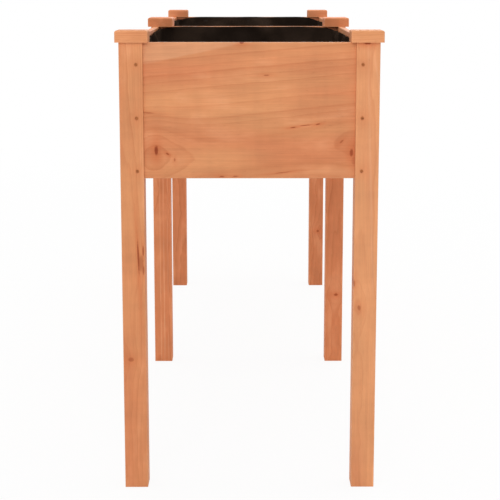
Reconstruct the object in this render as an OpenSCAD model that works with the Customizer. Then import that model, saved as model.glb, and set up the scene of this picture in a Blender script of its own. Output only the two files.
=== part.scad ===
// Raised planter bed on six legs, with two lined beds in line.
// Millimetres. X runs across the planter, Y along it and Z up.
// The origin is on the ground, under the middle of the planter.

/* [Frame] */
// Width over the outer faces of the legs
frame_w = 438; // [320:1:700]
// Length over the outer faces of the end legs
frame_l = 1588; // [900:1:1900]
// Height of a leg, up to the underside of its cap
leg_h = 780; // [400:1:1000]
// Side of a leg's square section
leg_s = 40; // [36:1:60]
// Radius of a leg's eased long edges
leg_ease = 1.5; // [0.5:0.1:3]

/* [Caps] */
// Thickness of a cap
cap_t = 20; // [14:1:35]
// How far a cap stands out past the outer faces of its leg
cap_out = 6; // [2:0.5:15]
// How far a cap reaches past the inner faces of its leg
cap_in = 9; // [5:0.5:20]
// How far a middle cap runs past its leg, each way along the planter
cap_along = 20; // [6:1:60]
// Radius of the rounded edges round the top of a cap
cap_ease = 4; // [1:0.5:6]
// Radius of a cap's upright edges
cap_corner = 1.5; // [0.5:0.5:5]

/* [Boards] */
// Height of the end boards, the side boards and the divider
board_h = 230; // [150:1:280]
// Thickness of the end boards, the side boards and the divider
board_t = 12; // [10:0.5:18]
// How far a board is set back from the outer faces of the legs
board_set = 6; // [4:0.5:12]
// Radius of a board's eased long edges
board_ease = 1.2; // [0.4:0.1:3]
// Depth of the grooves in the legs that hold the boards' ends
groove_d = 15; // [14:0.5:16.5]
// Play between a groove and each face of its board
groove_play = 0.2; // [0.1:0.05:0.5]
// Play between a board's end and the bottom of its groove
board_end_play = 0.8; // [0.3:0.1:2]

/* [Floor] */
// Side of a cleat's square section
cleat_s = 20; // [15:1:30]
// Height of a cleat's underside above the lower edge of the boards
cleat_up = 2; // [0:0.5:20]
// Play between a cleat's end and the leg it butts against
cleat_play = 0.5; // [0.2:0.1:2]
// Width of a floor slat
slat_w = 88; // [70:1:120]
// Thickness of a floor slat
slat_t = 10; // [8:0.5:18]
// Least drainage gap between two slats
slat_gap = 8; // [4:1:20]
// Play round the floor, between the slats and the boards and legs
slat_play = 0.7; // [0.3:0.1:2]
// Radius of a slat's eased long edges
slat_ease = 1.2; // [0.4:0.1:3]

/* [Liners] */
// Thickness of the liner
liner_t = 0.8; // [0.5:0.1:3]
// Play between the liner and the boards and legs
liner_play = 0.5; // [0.3:0.1:2]
// How far the liner's top edge lies below the top of the boards
liner_drop = 3; // [1:0.5:20]
// Radius of the liner's corners, where it doesn't fill the corners of the bed
liner_round = 6; // [3:0.5:6.5]

/* [Fasteners] */
// Screws in each joint between a board and a leg
joint_screws = 3; // [2:1:5]
// Distance from the boards' top edge to the topmost screw of an end joint
screw_top = 37; // [28:1:60]
// Distance from the boards' lower edge to the lowest screw of an end joint
screw_bottom = 13; // [8:1:30]
// How much higher the side boards' screws sit, so that they pass the end boards' screws
screw_lift = 12; // [8:0.5:16]
// Distance from the leg's inner face to the screws of a joint
screw_in = 11; // [8:0.5:11.5]
// Length of a joint screw
screw_l = 30; // [22:1:32]
// Diameter of a joint screw's shank
screw_d = 3.5; // [3:0.1:4]
// Diameter of a joint screw's head
screw_head_d = 5; // [4.5:0.1:6]
// Length of a cap screw
cap_screw_l = 50; // [40:1:70]
// Diameter of a cap screw's shank
cap_screw_d = 4; // [3.5:0.1:5]
// Diameter of a cap screw's head
cap_screw_head_d = 7.5; // [6:0.5:9]
// Length of a cleat screw
cleat_screw_l = 26; // [22:1:28]
// Length of a slat nail
nail_l = 24; // [18:1:26]
// Diameter of a slat nail's shank
nail_d = 2; // [1.5:0.1:2.5]
// Diameter of a slat nail's head
nail_head_d = 4; // [3:0.5:6]
// Staples that hold a liner to one side board
side_staples = 5; // [2:1:8]
// Staples that hold a liner to its end board, and as many to the divider
end_staples = 3; // [2:1:5]
// How far the staples lie below the liner's top edge
staple_down = 8; // [4:0.5:20]
// Width of a staple over its prongs
staple_w = 10; // [6:0.5:14]
// Length of a staple's prongs
staple_l = 5.5; // [4.5:0.5:6]
// Thickness of a staple's wire
staple_wire = 0.8; // [0.6:0.1:1.2]
// Depth that the heads are sunk below the wood's face
head_sink = 0.8; // [0.3:0.1:1.5]
// Thickness of a head at its rim
head_rim = 0.8; // [0.5:0.1:1.2]
// Play between a fastener and its hole
hole_play = 0.1; // [0.05:0.05:0.3]

/* [Hidden] */
$fn = 32;

// How far a cut runs past the face that it opens
over = 1;

// The cross in a screw's head: its arms' length and width for a head 1 mm across, and its depth
// for a rim 1 mm thick
cross_arm = 0.55;
cross_slot = 0.13;
cross_depth = 0.7;

// Faces and centres of the frame, on its right and rear side
leg_x = frame_w / 2 - leg_s / 2;
leg_y = frame_l / 2 - leg_s / 2;
leg_in_x = frame_w / 2 - leg_s;
leg_in_y = frame_l / 2 - leg_s;
side_in = frame_w / 2 - board_set - board_t;
end_in = frame_l / 2 - board_set - board_t;
divider_face = board_t / 2;
board_z = leg_h - board_h;

// Floor of one bed
cleat_z = board_z + cleat_up;
slat_z = cleat_z + cleat_s;
floor_z = slat_z + slat_t;
floor_l = end_in - divider_face - 2 * slat_play;
slat_count = floor((floor_l + slat_gap) / (slat_w + slat_gap));
slat_pitch = (floor_l - slat_w) / (slat_count - 1);

// Heights of the screws in an end joint. The side joints use them with the lift added.
joint_pitch = (board_h - screw_top - screw_bottom) / (joint_screws - 1);
joint_z = [for (i = [0 : joint_screws - 1]) board_z + screw_bottom + i * joint_pitch];

// Where each slat's middle lies along a bed, counted from the divider
slat_y = [for (i = [0 : slat_count - 1]) divider_face + slat_play + slat_w / 2 + i * slat_pitch];

// The liner's inner faces and its staples' height, and the staples' places along the walls of a bed
liner_side = side_in - liner_play - liner_t;
liner_end = end_in - liner_play - liner_t;
liner_divider = divider_face + liner_play + liner_t;
staple_z = leg_h - liner_drop - staple_down;
side_staple_y = spread(leg_s / 2, leg_in_y, side_staples);
end_staple_x = spread(-leg_in_x, leg_in_x, end_staples);

// The middles of n equal stretches from a to b
function spread(a, b, n) = [for (i = [0 : n - 1]) a + (b - a) * (i + 0.5) / n];

LEG_ROWS = ["front", "middle", "rear"];
ENDS = ["front", "rear"];
SIDES = ["left", "right"];

LEG_COLOUR = [0.85, 0.56, 0.37];
CAP_COLOUR = [0.90, 0.60, 0.40];
BOARD_COLOUR = [0.84, 0.55, 0.37];
FLOOR_COLOUR = [0.80, 0.55, 0.36];
LINER_COLOUR = [0.08, 0.07, 0.06];
STEEL_COLOUR = [0.55, 0.45, 0.36];

// Moves a piece that is drawn at the right and rear to the side and end named.
module at_side(side, end) {
    mirror([side == "left" ? 1 : 0, 0, 0])
        mirror([0, end == "front" ? 1 : 0, 0])
            children();
}

// A rectangle round the origin with rounded corners.
module eased_rectangle(w, h, r) {
    square([w - 2 * r, h], center = true);
    square([w, h - 2 * r], center = true);
    for (x = [-1, 1], y = [-1, 1])
        translate([x * (w / 2 - r), y * (h / 2 - r)]) circle(r);
}

// A rectangle that stands on the X axis, with only its two upper corners rounded.
module top_eased_rectangle(w, h, r) {
    translate([-w / 2, 0]) square([w, h - r]);
    translate([-w / 2 + r, 0]) square([w - 2 * r, h]);
    for (x = [-1, 1])
        translate([x * (w / 2 - r), h - r]) circle(r);
}

// A fastener that points down from z = 0. The hole for it is the same shape with play all round,
// and open up to the face of the wood.
module fastener(l, shank, head, play = 0, open = 0) {
    head_r = head / 2 + play;
    shank_r = shank / 2 + play;
    cone = head_r - shank_r;
    rotate_extrude()
        polygon([
            [0, open], [head_r, open], [head_r, -head_rim - play], [shank_r, -head_rim - play - cone],
            [shank_r, -l + shank - play], [0, -l - play]
        ]);
}

// The cross cut into a screw's head.
module cross_cut(head) {
    for (turn = [0, 90])
        rotate(turn)
            cube([cross_arm * head, cross_slot * head, 2 * cross_depth * head_rim], center = true);
}

module screw(l, shank, head) {
    difference() {
        fastener(l, shank, head);
        cross_cut(head);
    }
}

module hole(l, shank, head) {
    fastener(l, shank, head, play = hole_play, open = head_sink + over);
}

// A staple with its crown along X and its prongs down from z = 0. Its slots are the prongs with play all
// round, longer than the prongs by the same play.
module staple_prongs(play = 0) {
    thick = staple_wire + 2 * play;
    for (x = [-1, 1])
        translate([x * (staple_w - staple_wire) / 2, 0, -(staple_l + play) / 2])
            cube([thick, thick, staple_l + play], center = true);
}

module staple() {
    staple_prongs();
    translate([0, 0, staple_wire / 2]) cube([staple_w, staple_wire, staple_wire], center = true);
}

module joint_screw() screw(screw_l, screw_d, screw_head_d);
module joint_hole() hole(screw_l, screw_d, screw_head_d);

// Places of the fasteners, each with its children's heads just under the wood's face.

// Through the rear right leg into the end board
module at_end_joint() {
    for (z = joint_z)
        translate([leg_in_x + screw_in, frame_l / 2 - head_sink, z])
            rotate([-90, 0, 0]) children();
}

// Through the right legs into the rear side board, at its end leg
module at_side_end_joint() {
    for (z = joint_z)
        translate([frame_w / 2 - head_sink, leg_in_y + screw_in, z + screw_lift])
            rotate([0, 90, 0]) children();
}

// Through the right legs into the rear side board, at its middle leg
module at_side_middle_joint() {
    for (z = joint_z)
        translate([frame_w / 2 - head_sink, leg_s / 2 - screw_in, z + screw_lift])
            rotate([0, 90, 0]) children();
}

// Through the right middle leg into the divider, from inside the front bed
module at_divider_joint() {
    for (z = joint_z)
        translate([leg_in_x + screw_in, -leg_s / 2 + head_sink, z])
            rotate([90, 0, 0]) children();
}

// Down through a cap into its leg, at the right
module at_cap_joint(y) {
    translate([leg_x, y, leg_h + cap_t - head_sink]) children();
}

// Through the right rear cleat into its side board, under every second gap between slats
module at_cleat_joint() {
    for (i = [0 : 2 : slat_count - 2])
        translate([side_in - cleat_s + head_sink, slat_y[i] + slat_pitch / 2, cleat_z + cleat_s / 2])
            rotate([0, -90, 0]) children();
}

// Down through one end of a slat into its cleat, at the right
module at_slat_joint(y) {
    translate([side_in - cleat_s / 2, y, floor_z - head_sink]) children();
}

// Into the right side board of the rear bed, through the liner
module at_side_staples() {
    for (y = side_staple_y)
        translate([liner_side, y, staple_z])
            rotate([0, -90, 0]) rotate(90) children();
}

// Into the end board of the rear bed, through the liner
module at_end_staples() {
    for (x = end_staple_x)
        translate([x, liner_end, staple_z])
            rotate([90, 0, 0]) children();
}

// Into the rear face of the divider, through the liner
module at_divider_staples() {
    for (x = end_staple_x)
        translate([x, liner_divider, staple_z])
            rotate([-90, 0, 0]) children();
}

// A square leg with eased edges. Its middle stands at x, y.
module leg_stock(x, y) {
    translate([x, y, 0]) linear_extrude(leg_h) eased_rectangle(leg_s, leg_s, leg_ease);
}

// The groove for a board that runs across the planter. Its middle lies at y.
module cross_groove(y) {
    translate([leg_in_x - over, y - board_t / 2 - groove_play, board_z])
        cube([groove_d + over, board_t + 2 * groove_play, board_h + over]);
}

// The groove for a side board, cut in the leg's face at y, towards the rear
module side_groove(y) {
    translate([side_in - groove_play, y - over, board_z])
        cube([board_t + 2 * groove_play, groove_d + over, board_h + over]);
}

module end_leg() {
    difference() {
        leg_stock(leg_x, leg_y);
        cross_groove(end_in + board_t / 2);
        side_groove(leg_in_y);
        at_end_joint() joint_hole();
        at_side_end_joint() joint_hole();
        at_cap_joint(leg_y) hole(cap_screw_l, cap_screw_d, cap_screw_head_d);
    }
}

module middle_leg() {
    difference() {
        leg_stock(leg_x, 0);
        cross_groove(0);
        for (end = ENDS)
            at_side("right", end) {
                mirror([0, 1, 0]) side_groove(-leg_s / 2);
                at_side_middle_joint() joint_hole();
            }
        at_divider_joint() joint_hole();
        at_cap_joint(0) hole(cap_screw_l, cap_screw_d, cap_screw_head_d);
    }
}

module leg(row, side) {
    color(LEG_COLOUR)
        at_side(side, row)
            if (row == "middle") middle_leg();
            else end_leg();
}

// A cap block over its leg, from x_in to x_out and from y_in to y_out, rounded along its top edges.
module cap_block(y_in, y_out) {
    x_in = leg_in_x - cap_in;
    w = frame_w / 2 + cap_out - x_in;
    l = y_out - y_in;
    translate([x_in + w / 2, (y_in + y_out) / 2, leg_h])
        intersection() {
            linear_extrude(cap_t) eased_rectangle(w, l, cap_corner);
            rotate([90, 0, 0]) linear_extrude(l, center = true) top_eased_rectangle(w, cap_t, cap_ease);
            rotate([90, 0, 90]) linear_extrude(w, center = true) top_eased_rectangle(l, cap_t, cap_ease);
        }
}

module cap(row, side) {
    middle = row == "middle";
    y_in = middle ? -leg_s / 2 - cap_along : leg_in_y - cap_in;
    y_out = middle ? leg_s / 2 + cap_along : frame_l / 2 + cap_out;
    color(CAP_COLOUR)
        at_side(side, row)
            difference() {
                cap_block(y_in, y_out);
                at_cap_joint(middle ? 0 : leg_y) hole(cap_screw_l, cap_screw_d, cap_screw_head_d);
            }
}

// A board across the planter, housed in the legs at both ends. Its middle lies at y.
module cross_board(y) {
    l = 2 * (leg_in_x + groove_d - board_end_play);
    translate([0, y, board_z + board_h / 2])
        rotate([0, 90, 0])
            linear_extrude(l, center = true) eased_rectangle(board_h, board_t, board_ease);
}

module end_board(end) {
    color(BOARD_COLOUR)
        at_side("right", end)
            difference() {
                cross_board(end_in + board_t / 2);
                for (side = SIDES)
                    at_side(side, "rear") at_end_joint() joint_hole();
                at_end_staples() staple_prongs(hole_play);
            }
}

module divider_board() {
    color(BOARD_COLOUR)
        difference() {
            cross_board(0);
            for (side = SIDES)
                at_side(side, "rear") at_divider_joint() joint_hole();
            for (end = ENDS)
                at_side("right", end) at_divider_staples() staple_prongs(hole_play);
        }
}

// A side board, housed in its end leg and its middle leg, with the holes for its cleat's screws
module side_board(end, side) {
    y_in = leg_s / 2 - groove_d + board_end_play;
    y_out = leg_in_y + groove_d - board_end_play;
    color(BOARD_COLOUR)
        at_side(side, end)
            difference() {
                translate([side_in + board_t / 2, y_out, board_z + board_h / 2])
                    rotate([90, 0, 0])
                        linear_extrude(y_out - y_in) eased_rectangle(board_t, board_h, board_ease);
                at_side_end_joint() joint_hole();
                at_side_middle_joint() joint_hole();
                at_cleat_joint() hole(cleat_screw_l, screw_d, screw_head_d);
                at_side_staples() staple_prongs(hole_play);
            }
}

// A cleat along the foot of a side board, between its two legs
module cleat(end, side) {
    y_in = leg_s / 2 + cleat_play;
    y_out = leg_in_y - cleat_play;
    color(FLOOR_COLOUR)
        at_side(side, end)
            difference() {
                translate([side_in - cleat_s / 2, y_out, cleat_z + cleat_s / 2])
                    rotate([90, 0, 0])
                        linear_extrude(y_out - y_in) eased_rectangle(cleat_s, cleat_s, slat_ease);
                at_cleat_joint() hole(cleat_screw_l, screw_d, screw_head_d);
                for (y = slat_y)
                    at_slat_joint(y) hole(nail_l, nail_d, nail_head_d);
            }
}

// A floor slat across a bed. The slats at the ends of the bed are notched round the legs.
module floor_slat(end, i) {
    y = slat_y[i - 1];
    notch = leg_s + 2 * slat_play;
    color(FLOOR_COLOUR)
        at_side("right", end)
            difference() {
                translate([0, y, slat_z + slat_t / 2])
                    rotate([0, 90, 0])
                        linear_extrude(2 * (side_in - slat_play), center = true)
                            eased_rectangle(slat_t, slat_w, slat_ease);
                for (side = SIDES)
                    at_side(side, "rear") {
                        for (row_y = [0, leg_y])
                            translate([leg_x, row_y, slat_z + slat_t / 2])
                                cube([notch, notch, slat_t + 2 * over], center = true);
                        at_slat_joint(y) hole(nail_l, nail_d, nail_head_d);
                    }
            }
}

// The plan of one bed inside its boards, less the legs, with soft corners
module liner_outline() {
    offset(r = liner_round) offset(delta = -liner_round)
        difference() {
            translate([-side_in + liner_play, divider_face + liner_play])
                square([2 * (side_in - liner_play), end_in - divider_face - 2 * liner_play]);
            offset(r = liner_play)
                for (x = [-leg_x, leg_x], y = [0, leg_y])
                    translate([x, y]) eased_rectangle(leg_s, leg_s, leg_ease);
        }
}

// An open bag that lies on the slats and stands against the boards, round the legs
module liner(end) {
    color(LINER_COLOUR)
        at_side("right", end)
            difference() {
                translate([0, 0, floor_z])
                    linear_extrude(leg_h - liner_drop - floor_z) liner_outline();
                translate([0, 0, floor_z + liner_t])
                    linear_extrude(leg_h - floor_z) offset(delta = -liner_t) liner_outline();
                for (side = SIDES)
                    at_side(side, "rear") at_side_staples() staple_prongs(hole_play);
                at_end_staples() staple_prongs(hole_play);
                at_divider_staples() staple_prongs(hole_play);
            }
}

module end_board_screws() {
    color(STEEL_COLOUR)
        for (end = ENDS, side = SIDES)
            at_side(side, end) at_end_joint() joint_screw();
}

module side_board_screws() {
    color(STEEL_COLOUR)
        for (end = ENDS, side = SIDES)
            at_side(side, end) {
                at_side_end_joint() joint_screw();
                at_side_middle_joint() joint_screw();
            }
}

module divider_screws() {
    color(STEEL_COLOUR)
        for (side = SIDES)
            at_side(side, "rear") at_divider_joint() joint_screw();
}

module cap_screws() {
    color(STEEL_COLOUR)
        for (side = SIDES, y = [-leg_y, 0, leg_y])
            at_side(side, "rear") at_cap_joint(y) screw(cap_screw_l, cap_screw_d, cap_screw_head_d);
}

module cleat_screws() {
    color(STEEL_COLOUR)
        for (end = ENDS, side = SIDES)
            at_side(side, end) at_cleat_joint() screw(cleat_screw_l, screw_d, screw_head_d);
}

module slat_nails() {
    color(STEEL_COLOUR)
        for (end = ENDS, side = SIDES, y = slat_y)
            at_side(side, end) at_slat_joint(y) fastener(nail_l, nail_d, nail_head_d);
}

module liner_staples() {
    color(LINER_COLOUR)
        for (end = ENDS) {
            for (side = SIDES)
                at_side(side, end) at_side_staples() staple();
            at_side("right", end) {
                at_end_staples() staple();
                at_divider_staples() staple();
            }
        }
}

for (row = LEG_ROWS, side = SIDES)
    leg(row, side);
for (row = LEG_ROWS, side = SIDES)
    cap(row, side);
for (end = ENDS)
    end_board(end);
for (end = ENDS, side = SIDES)
    side_board(end, side);
divider_board();
for (end = ENDS, side = SIDES)
    cleat(end, side);
for (end = ENDS, i = [1 : slat_count])
    floor_slat(end, i);
for (end = ENDS)
    liner(end);
end_board_screws();
side_board_screws();
divider_screws();
cap_screws();
cleat_screws();
slat_nails();
liner_staples();
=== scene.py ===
"""The looks of a raised planter bed: stained fir on six legs, two black liners and their fasteners.

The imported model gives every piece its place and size. The wooden and metal pieces keep their own
meshes and get their finishes here. Each liner is replaced by a cloth bag that has settled into its
bed. Lengths are metres unless a name or a docstring says millimetres.
"""

import logging
import math
from dataclasses import dataclass
from enum import Enum

import bmesh
import bpy
import numpy as np
from mathutils import Matrix, Vector


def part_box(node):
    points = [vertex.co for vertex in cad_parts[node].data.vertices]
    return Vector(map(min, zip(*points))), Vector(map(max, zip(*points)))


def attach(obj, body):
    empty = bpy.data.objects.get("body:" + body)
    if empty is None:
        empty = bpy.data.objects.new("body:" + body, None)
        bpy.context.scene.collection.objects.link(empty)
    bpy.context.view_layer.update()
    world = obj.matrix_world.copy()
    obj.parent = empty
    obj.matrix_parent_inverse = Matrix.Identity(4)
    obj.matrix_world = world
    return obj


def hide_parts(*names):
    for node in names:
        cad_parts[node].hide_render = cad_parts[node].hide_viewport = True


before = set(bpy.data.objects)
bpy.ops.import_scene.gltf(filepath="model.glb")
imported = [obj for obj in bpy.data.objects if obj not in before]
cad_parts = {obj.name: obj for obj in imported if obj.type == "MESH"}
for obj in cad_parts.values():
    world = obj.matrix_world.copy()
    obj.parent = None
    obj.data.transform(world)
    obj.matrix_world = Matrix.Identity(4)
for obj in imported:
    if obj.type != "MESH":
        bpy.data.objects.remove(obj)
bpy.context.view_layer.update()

LOG = logging.getLogger("planter")
MM = 0.001

Socket = bpy.types.NodeSocket
Feed = Socket | float | tuple[float, ...]
Point = tuple[float, float, float]
Colour = tuple[float, float, float, float]
Sockets = dict[str, Socket]


def screen_colour(red: int, green: int, blue: int) -> Colour:
    """Turns a colour as a screen shows it, 0 to 255, into the linear one that a shader takes.

    Args:
        red: The red part.
        green: The green part.
        blue: The blue part.

    Returns:
        The linear colour, with full alpha.
    """
    parts = np.array([red, green, blue]) / 255
    linear = np.where(parts <= 0.04045, parts / 12.92, ((parts + 0.055) / 1.055) ** 2.4)
    return (*linear.tolist(), 1.0)


class Nodes:
    """Adds shader nodes to one tree and joins them in short calls."""

    def __init__(self, tree: bpy.types.NodeTree) -> None:
        """Takes the tree that the nodes go into."""
        self.tree = tree

    def add(self, kind: str, inputs: dict[str | int, Feed] | None = None,
            **settings: str | bpy.types.NodeTree) -> bpy.types.Node:
        """Adds one node.

        Args:
            kind: The node's type, as Blender names it.
            inputs: What each input gets, by its name or place: a socket or a plain value.
            **settings: The node's own options.

        Returns:
            The new node.
        """
        node = self.tree.nodes.new(kind)
        for name, value in settings.items():
            setattr(node, name, value)
        for key, value in (inputs or {}).items():
            if isinstance(value, Socket):
                self.tree.links.new(value, node.inputs[key])
            else:
                node.inputs[key].default_value = value
        return node

    def math(self, operation: str, a: Feed, b: Feed = 0.0, c: Feed = 0.0) -> Socket:
        """The result of one sum on numbers."""
        return self.add("ShaderNodeMath", {0: a, 1: b, 2: c}, operation=operation).outputs[0]

    def vector(self, operation: str, a: Feed, b: Feed = (0.0, 0.0, 0.0)) -> Socket:
        """The result of one sum on vectors, which is a vector."""
        return self.add("ShaderNodeVectorMath", {0: a, 1: b}, operation=operation).outputs["Vector"]

    def dot(self, a: Feed, b: Feed) -> Socket:
        """How far one vector reaches along another, times the other's length."""
        return self.add("ShaderNodeVectorMath", {0: a, 1: b}, operation="DOT_PRODUCT").outputs["Value"]

    def length(self, vector: Feed) -> Socket:
        """The length of a vector."""
        return self.add("ShaderNodeVectorMath", {0: vector}, operation="LENGTH").outputs["Value"]

    def scaled(self, vector: Feed, factor: Feed) -> Socket:
        """A vector times a number."""
        return self.add("ShaderNodeVectorMath", {0: vector, "Scale": factor}, operation="SCALE").outputs[0]

    def split(self, vector: Feed) -> tuple[Socket, Socket, Socket]:
        """The three parts of a vector."""
        outputs = self.add("ShaderNodeSeparateXYZ", {0: vector}).outputs
        return outputs[0], outputs[1], outputs[2]

    def joined(self, x: Feed, y: Feed, z: Feed) -> Socket:
        """A vector of three numbers."""
        return self.add("ShaderNodeCombineXYZ", {0: x, 1: y, 2: z}).outputs[0]

    def noise(self, vector: Feed, scale: float, detail: float = 2.0, rough: float = 0.5) -> Socket:
        """Soft noise about 0.5 in space."""
        inputs = {"Vector": vector, "Scale": scale, "Detail": detail, "Roughness": rough}
        return self.add("ShaderNodeTexNoise", inputs).outputs["Fac"]

    def grained(self, place: Feed, along: float, across: float) -> Socket:
        """A place whose noise repeats that often per metre along the grain, and through and across it."""
        return self.vector("MULTIPLY", place, (along, across, across))

    def drift(self, vector: Feed, amount: Feed, detail: float = 1.0) -> Socket:
        """A vector that wanders smoothly.

        Args:
            vector: The place.
            amount: About twice how far it wanders each way.
            detail: How fine its noise goes.

        Returns:
            The vector.
        """
        inputs = {"Vector": vector, "Scale": 1.0, "Detail": detail}
        colour = self.add("ShaderNodeTexNoise", inputs).outputs["Color"]
        return self.scaled(self.vector("SUBTRACT", colour, (0.5, 0.5, 0.5)), amount)

    def line_noise(self, place: Feed, scale: float) -> Socket:
        """Soft noise about 0.5 along a line."""
        inputs = {"W": place, "Scale": scale, "Detail": 1.0}
        return self.add("ShaderNodeTexNoise", inputs, noise_dimensions="1D").outputs["Fac"]

    def ease(self, value: Feed, low: Feed, high: Feed, start: float = 0.0, end: float = 1.0) -> Socket:
        """Goes smoothly from start to end as the value goes from low to high."""
        inputs = {"Value": value, "From Min": low, "From Max": high, "To Min": start, "To Max": end}
        return self.add("ShaderNodeMapRange", inputs, interpolation_type="SMOOTHSTEP").outputs[0]

    def blend(self, factor: Feed, a: Feed, b: Feed) -> Socket:
        """Mixes two colours. The factor 0 gives a and 1 gives b."""
        return self.add("ShaderNodeMix", {0: factor, 6: a, 7: b}, data_type="RGBA").outputs[2]

    def use(self, tree: bpy.types.NodeTree, inputs: dict[str, Feed]) -> bpy.types.bpy_prop_collection:
        """Places a node group.

        Args:
            tree: The group.
            inputs: What its inputs get, by name.

        Returns:
            The group's outputs.
        """
        return self.add("ShaderNodeGroup", inputs, node_tree=tree).outputs

    def put(self, values: Sockets, wanted: Sockets) -> None:
        """Joins each value to the socket of the same name."""
        for name, value in values.items():
            self.tree.links.new(value, wanted[name])


KINDS = {"number": "NodeSocketFloat", "vector": "NodeSocketVector", "colour": "NodeSocketColor"}


def start_group(name: str, inputs: dict[str, str],
                outputs: dict[str, str]) -> tuple[Nodes, Sockets, Sockets]:
    """Starts a shader node group.

    Args:
        name: The group's name.
        inputs: The kind of each input, by name: number, vector or colour.
        outputs: The kind of each output, by name.

    Returns:
        The tool that adds its nodes, the sockets to read its inputs from, and those its outputs take.
    """
    tree = bpy.data.node_groups.new(name, "ShaderNodeTree")
    for label, kind in inputs.items():
        tree.interface.new_socket(label, in_out="INPUT", socket_type=KINDS[kind])
    for label, kind in outputs.items():
        tree.interface.new_socket(label, in_out="OUTPUT", socket_type=KINDS[kind])
    nodes = Nodes(tree)
    given = nodes.add("NodeGroupInput").outputs
    wanted = nodes.add("NodeGroupOutput").inputs
    return nodes, {n: given[n] for n in inputs}, {n: wanted[n] for n in outputs}


def start_material(name: str) -> tuple[bpy.types.Material, Nodes]:
    """Starts an empty material.

    Args:
        name: Its name.

    Returns:
        The material, and the tool that adds its nodes.
    """
    material = bpy.data.materials.new(name)
    material.use_nodes = True
    material.node_tree.nodes.clear()
    return material, Nodes(material.node_tree)


class Grain(Enum):
    """The axis that a piece's fibres run along, and the one that its thickness goes through."""

    LEG = ("Z", "Y")
    BOARD_ACROSS = ("X", "Y")
    FLAT_ACROSS = ("X", "Z")
    BOARD_LENGTHWISE = ("Y", "X")
    FLAT_LENGTHWISE = ("Y", "Z")

    def turn(self) -> Matrix:
        """Works out the turn from the planter's axes to along the grain, through and across the face.

        Returns:
            The turn. Its first row is the way along the grain.
        """
        axes = {"X": Vector((1, 0, 0)), "Y": Vector((0, 1, 0)), "Z": Vector((0, 0, 1))}
        along, through = (axes[letter] for letter in self.value)
        return Matrix((along, through, along.cross(through)))


@dataclass(frozen=True)
class Knot:
    """A knot that goes through a piece's thickness.

    Args:
        at: A point on its middle line in the planter's frame, in millimetres.
        along: Half its size along the grain, in millimetres.
        across: Half its size across the grain, in millimetres.
        dark: How dark it is, from 0 to 1. At 0 it is buried, and only bends the grain.
        swell: How far it pushes the year rings aside, in millimetres.
        lean: How far it is turned from the grain, in degrees.
    """

    at: Point
    along: float
    across: float
    dark: float = 1.0
    swell: float = 6.0
    lean: float = 0.0

    def ways(self) -> tuple[Point, Point]:
        """Works out the knot's two ways on the face, turned by its lean.

        Returns:
            Its long and its short way, each as long as one over its half size in metres.
        """
        turn = math.radians(self.lean)
        long_way = (math.cos(turn) / (self.along * MM), 0.0, math.sin(turn) / (self.along * MM))
        short_way = (-math.sin(turn) / (self.across * MM), 0.0, math.cos(turn) / (self.across * MM))
        return long_way, short_way


@dataclass(frozen=True)
class Sapwood:
    """Paler wood along one edge of a piece.

    Args:
        start: How far its boundary lies from the piece's middle across the face, in millimetres.
        slope: How far the boundary climbs per length of grain.
        pale: How much of the pale colour shows, from 0 to 1.
    """

    start: float
    slope: float
    pale: float


@dataclass(frozen=True)
class Streak:
    """A narrow paler line along the grain.

    Args:
        at: How far it lies from the piece's middle across the face, in millimetres.
        width: How wide it is, in millimetres.
        pale: How much of the pale colour shows, from 0 to 1.
        slope: How far it moves across per length of grain.
    """

    at: float
    width: float
    pale: float
    slope: float = 0.0


@dataclass(frozen=True)
class Cut:
    """How one piece was sawn from its log.

    Args:
        grain: Which way the fibres run.
        pith: How far the log's middle line lies from the piece's middle, through its thickness and
            across its face, in millimetres.
        ring: Width of a year's ring, in millimetres.
        seed: Picks this piece's own noise.
        bend: How far the grain wanders sideways, in millimetres.
        slope: How far the log's middle line leans away through and across the piece, per metre of grain.
        tone: How much lighter than the mean the piece is, about 0.
        rose: How much of the stain shows its redder hue, about 0.5.
        contrast: How dark the latewood lines are.
        knots: The piece's knots.
        sapwood: Its paler edge, if it has one.
        streaks: Its paler lines.
    """

    grain: Grain
    pith: tuple[float, float]
    ring: float
    seed: int
    bend: float = 14.0
    slope: tuple[float, float] = (0.0, 0.0)
    tone: float = 0.0
    rose: float = 0.5
    contrast: float = 0.5
    knots: tuple[Knot, ...] = ()
    sapwood: Sapwood | None = None
    streaks: tuple[Streak, ...] = ()


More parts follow.
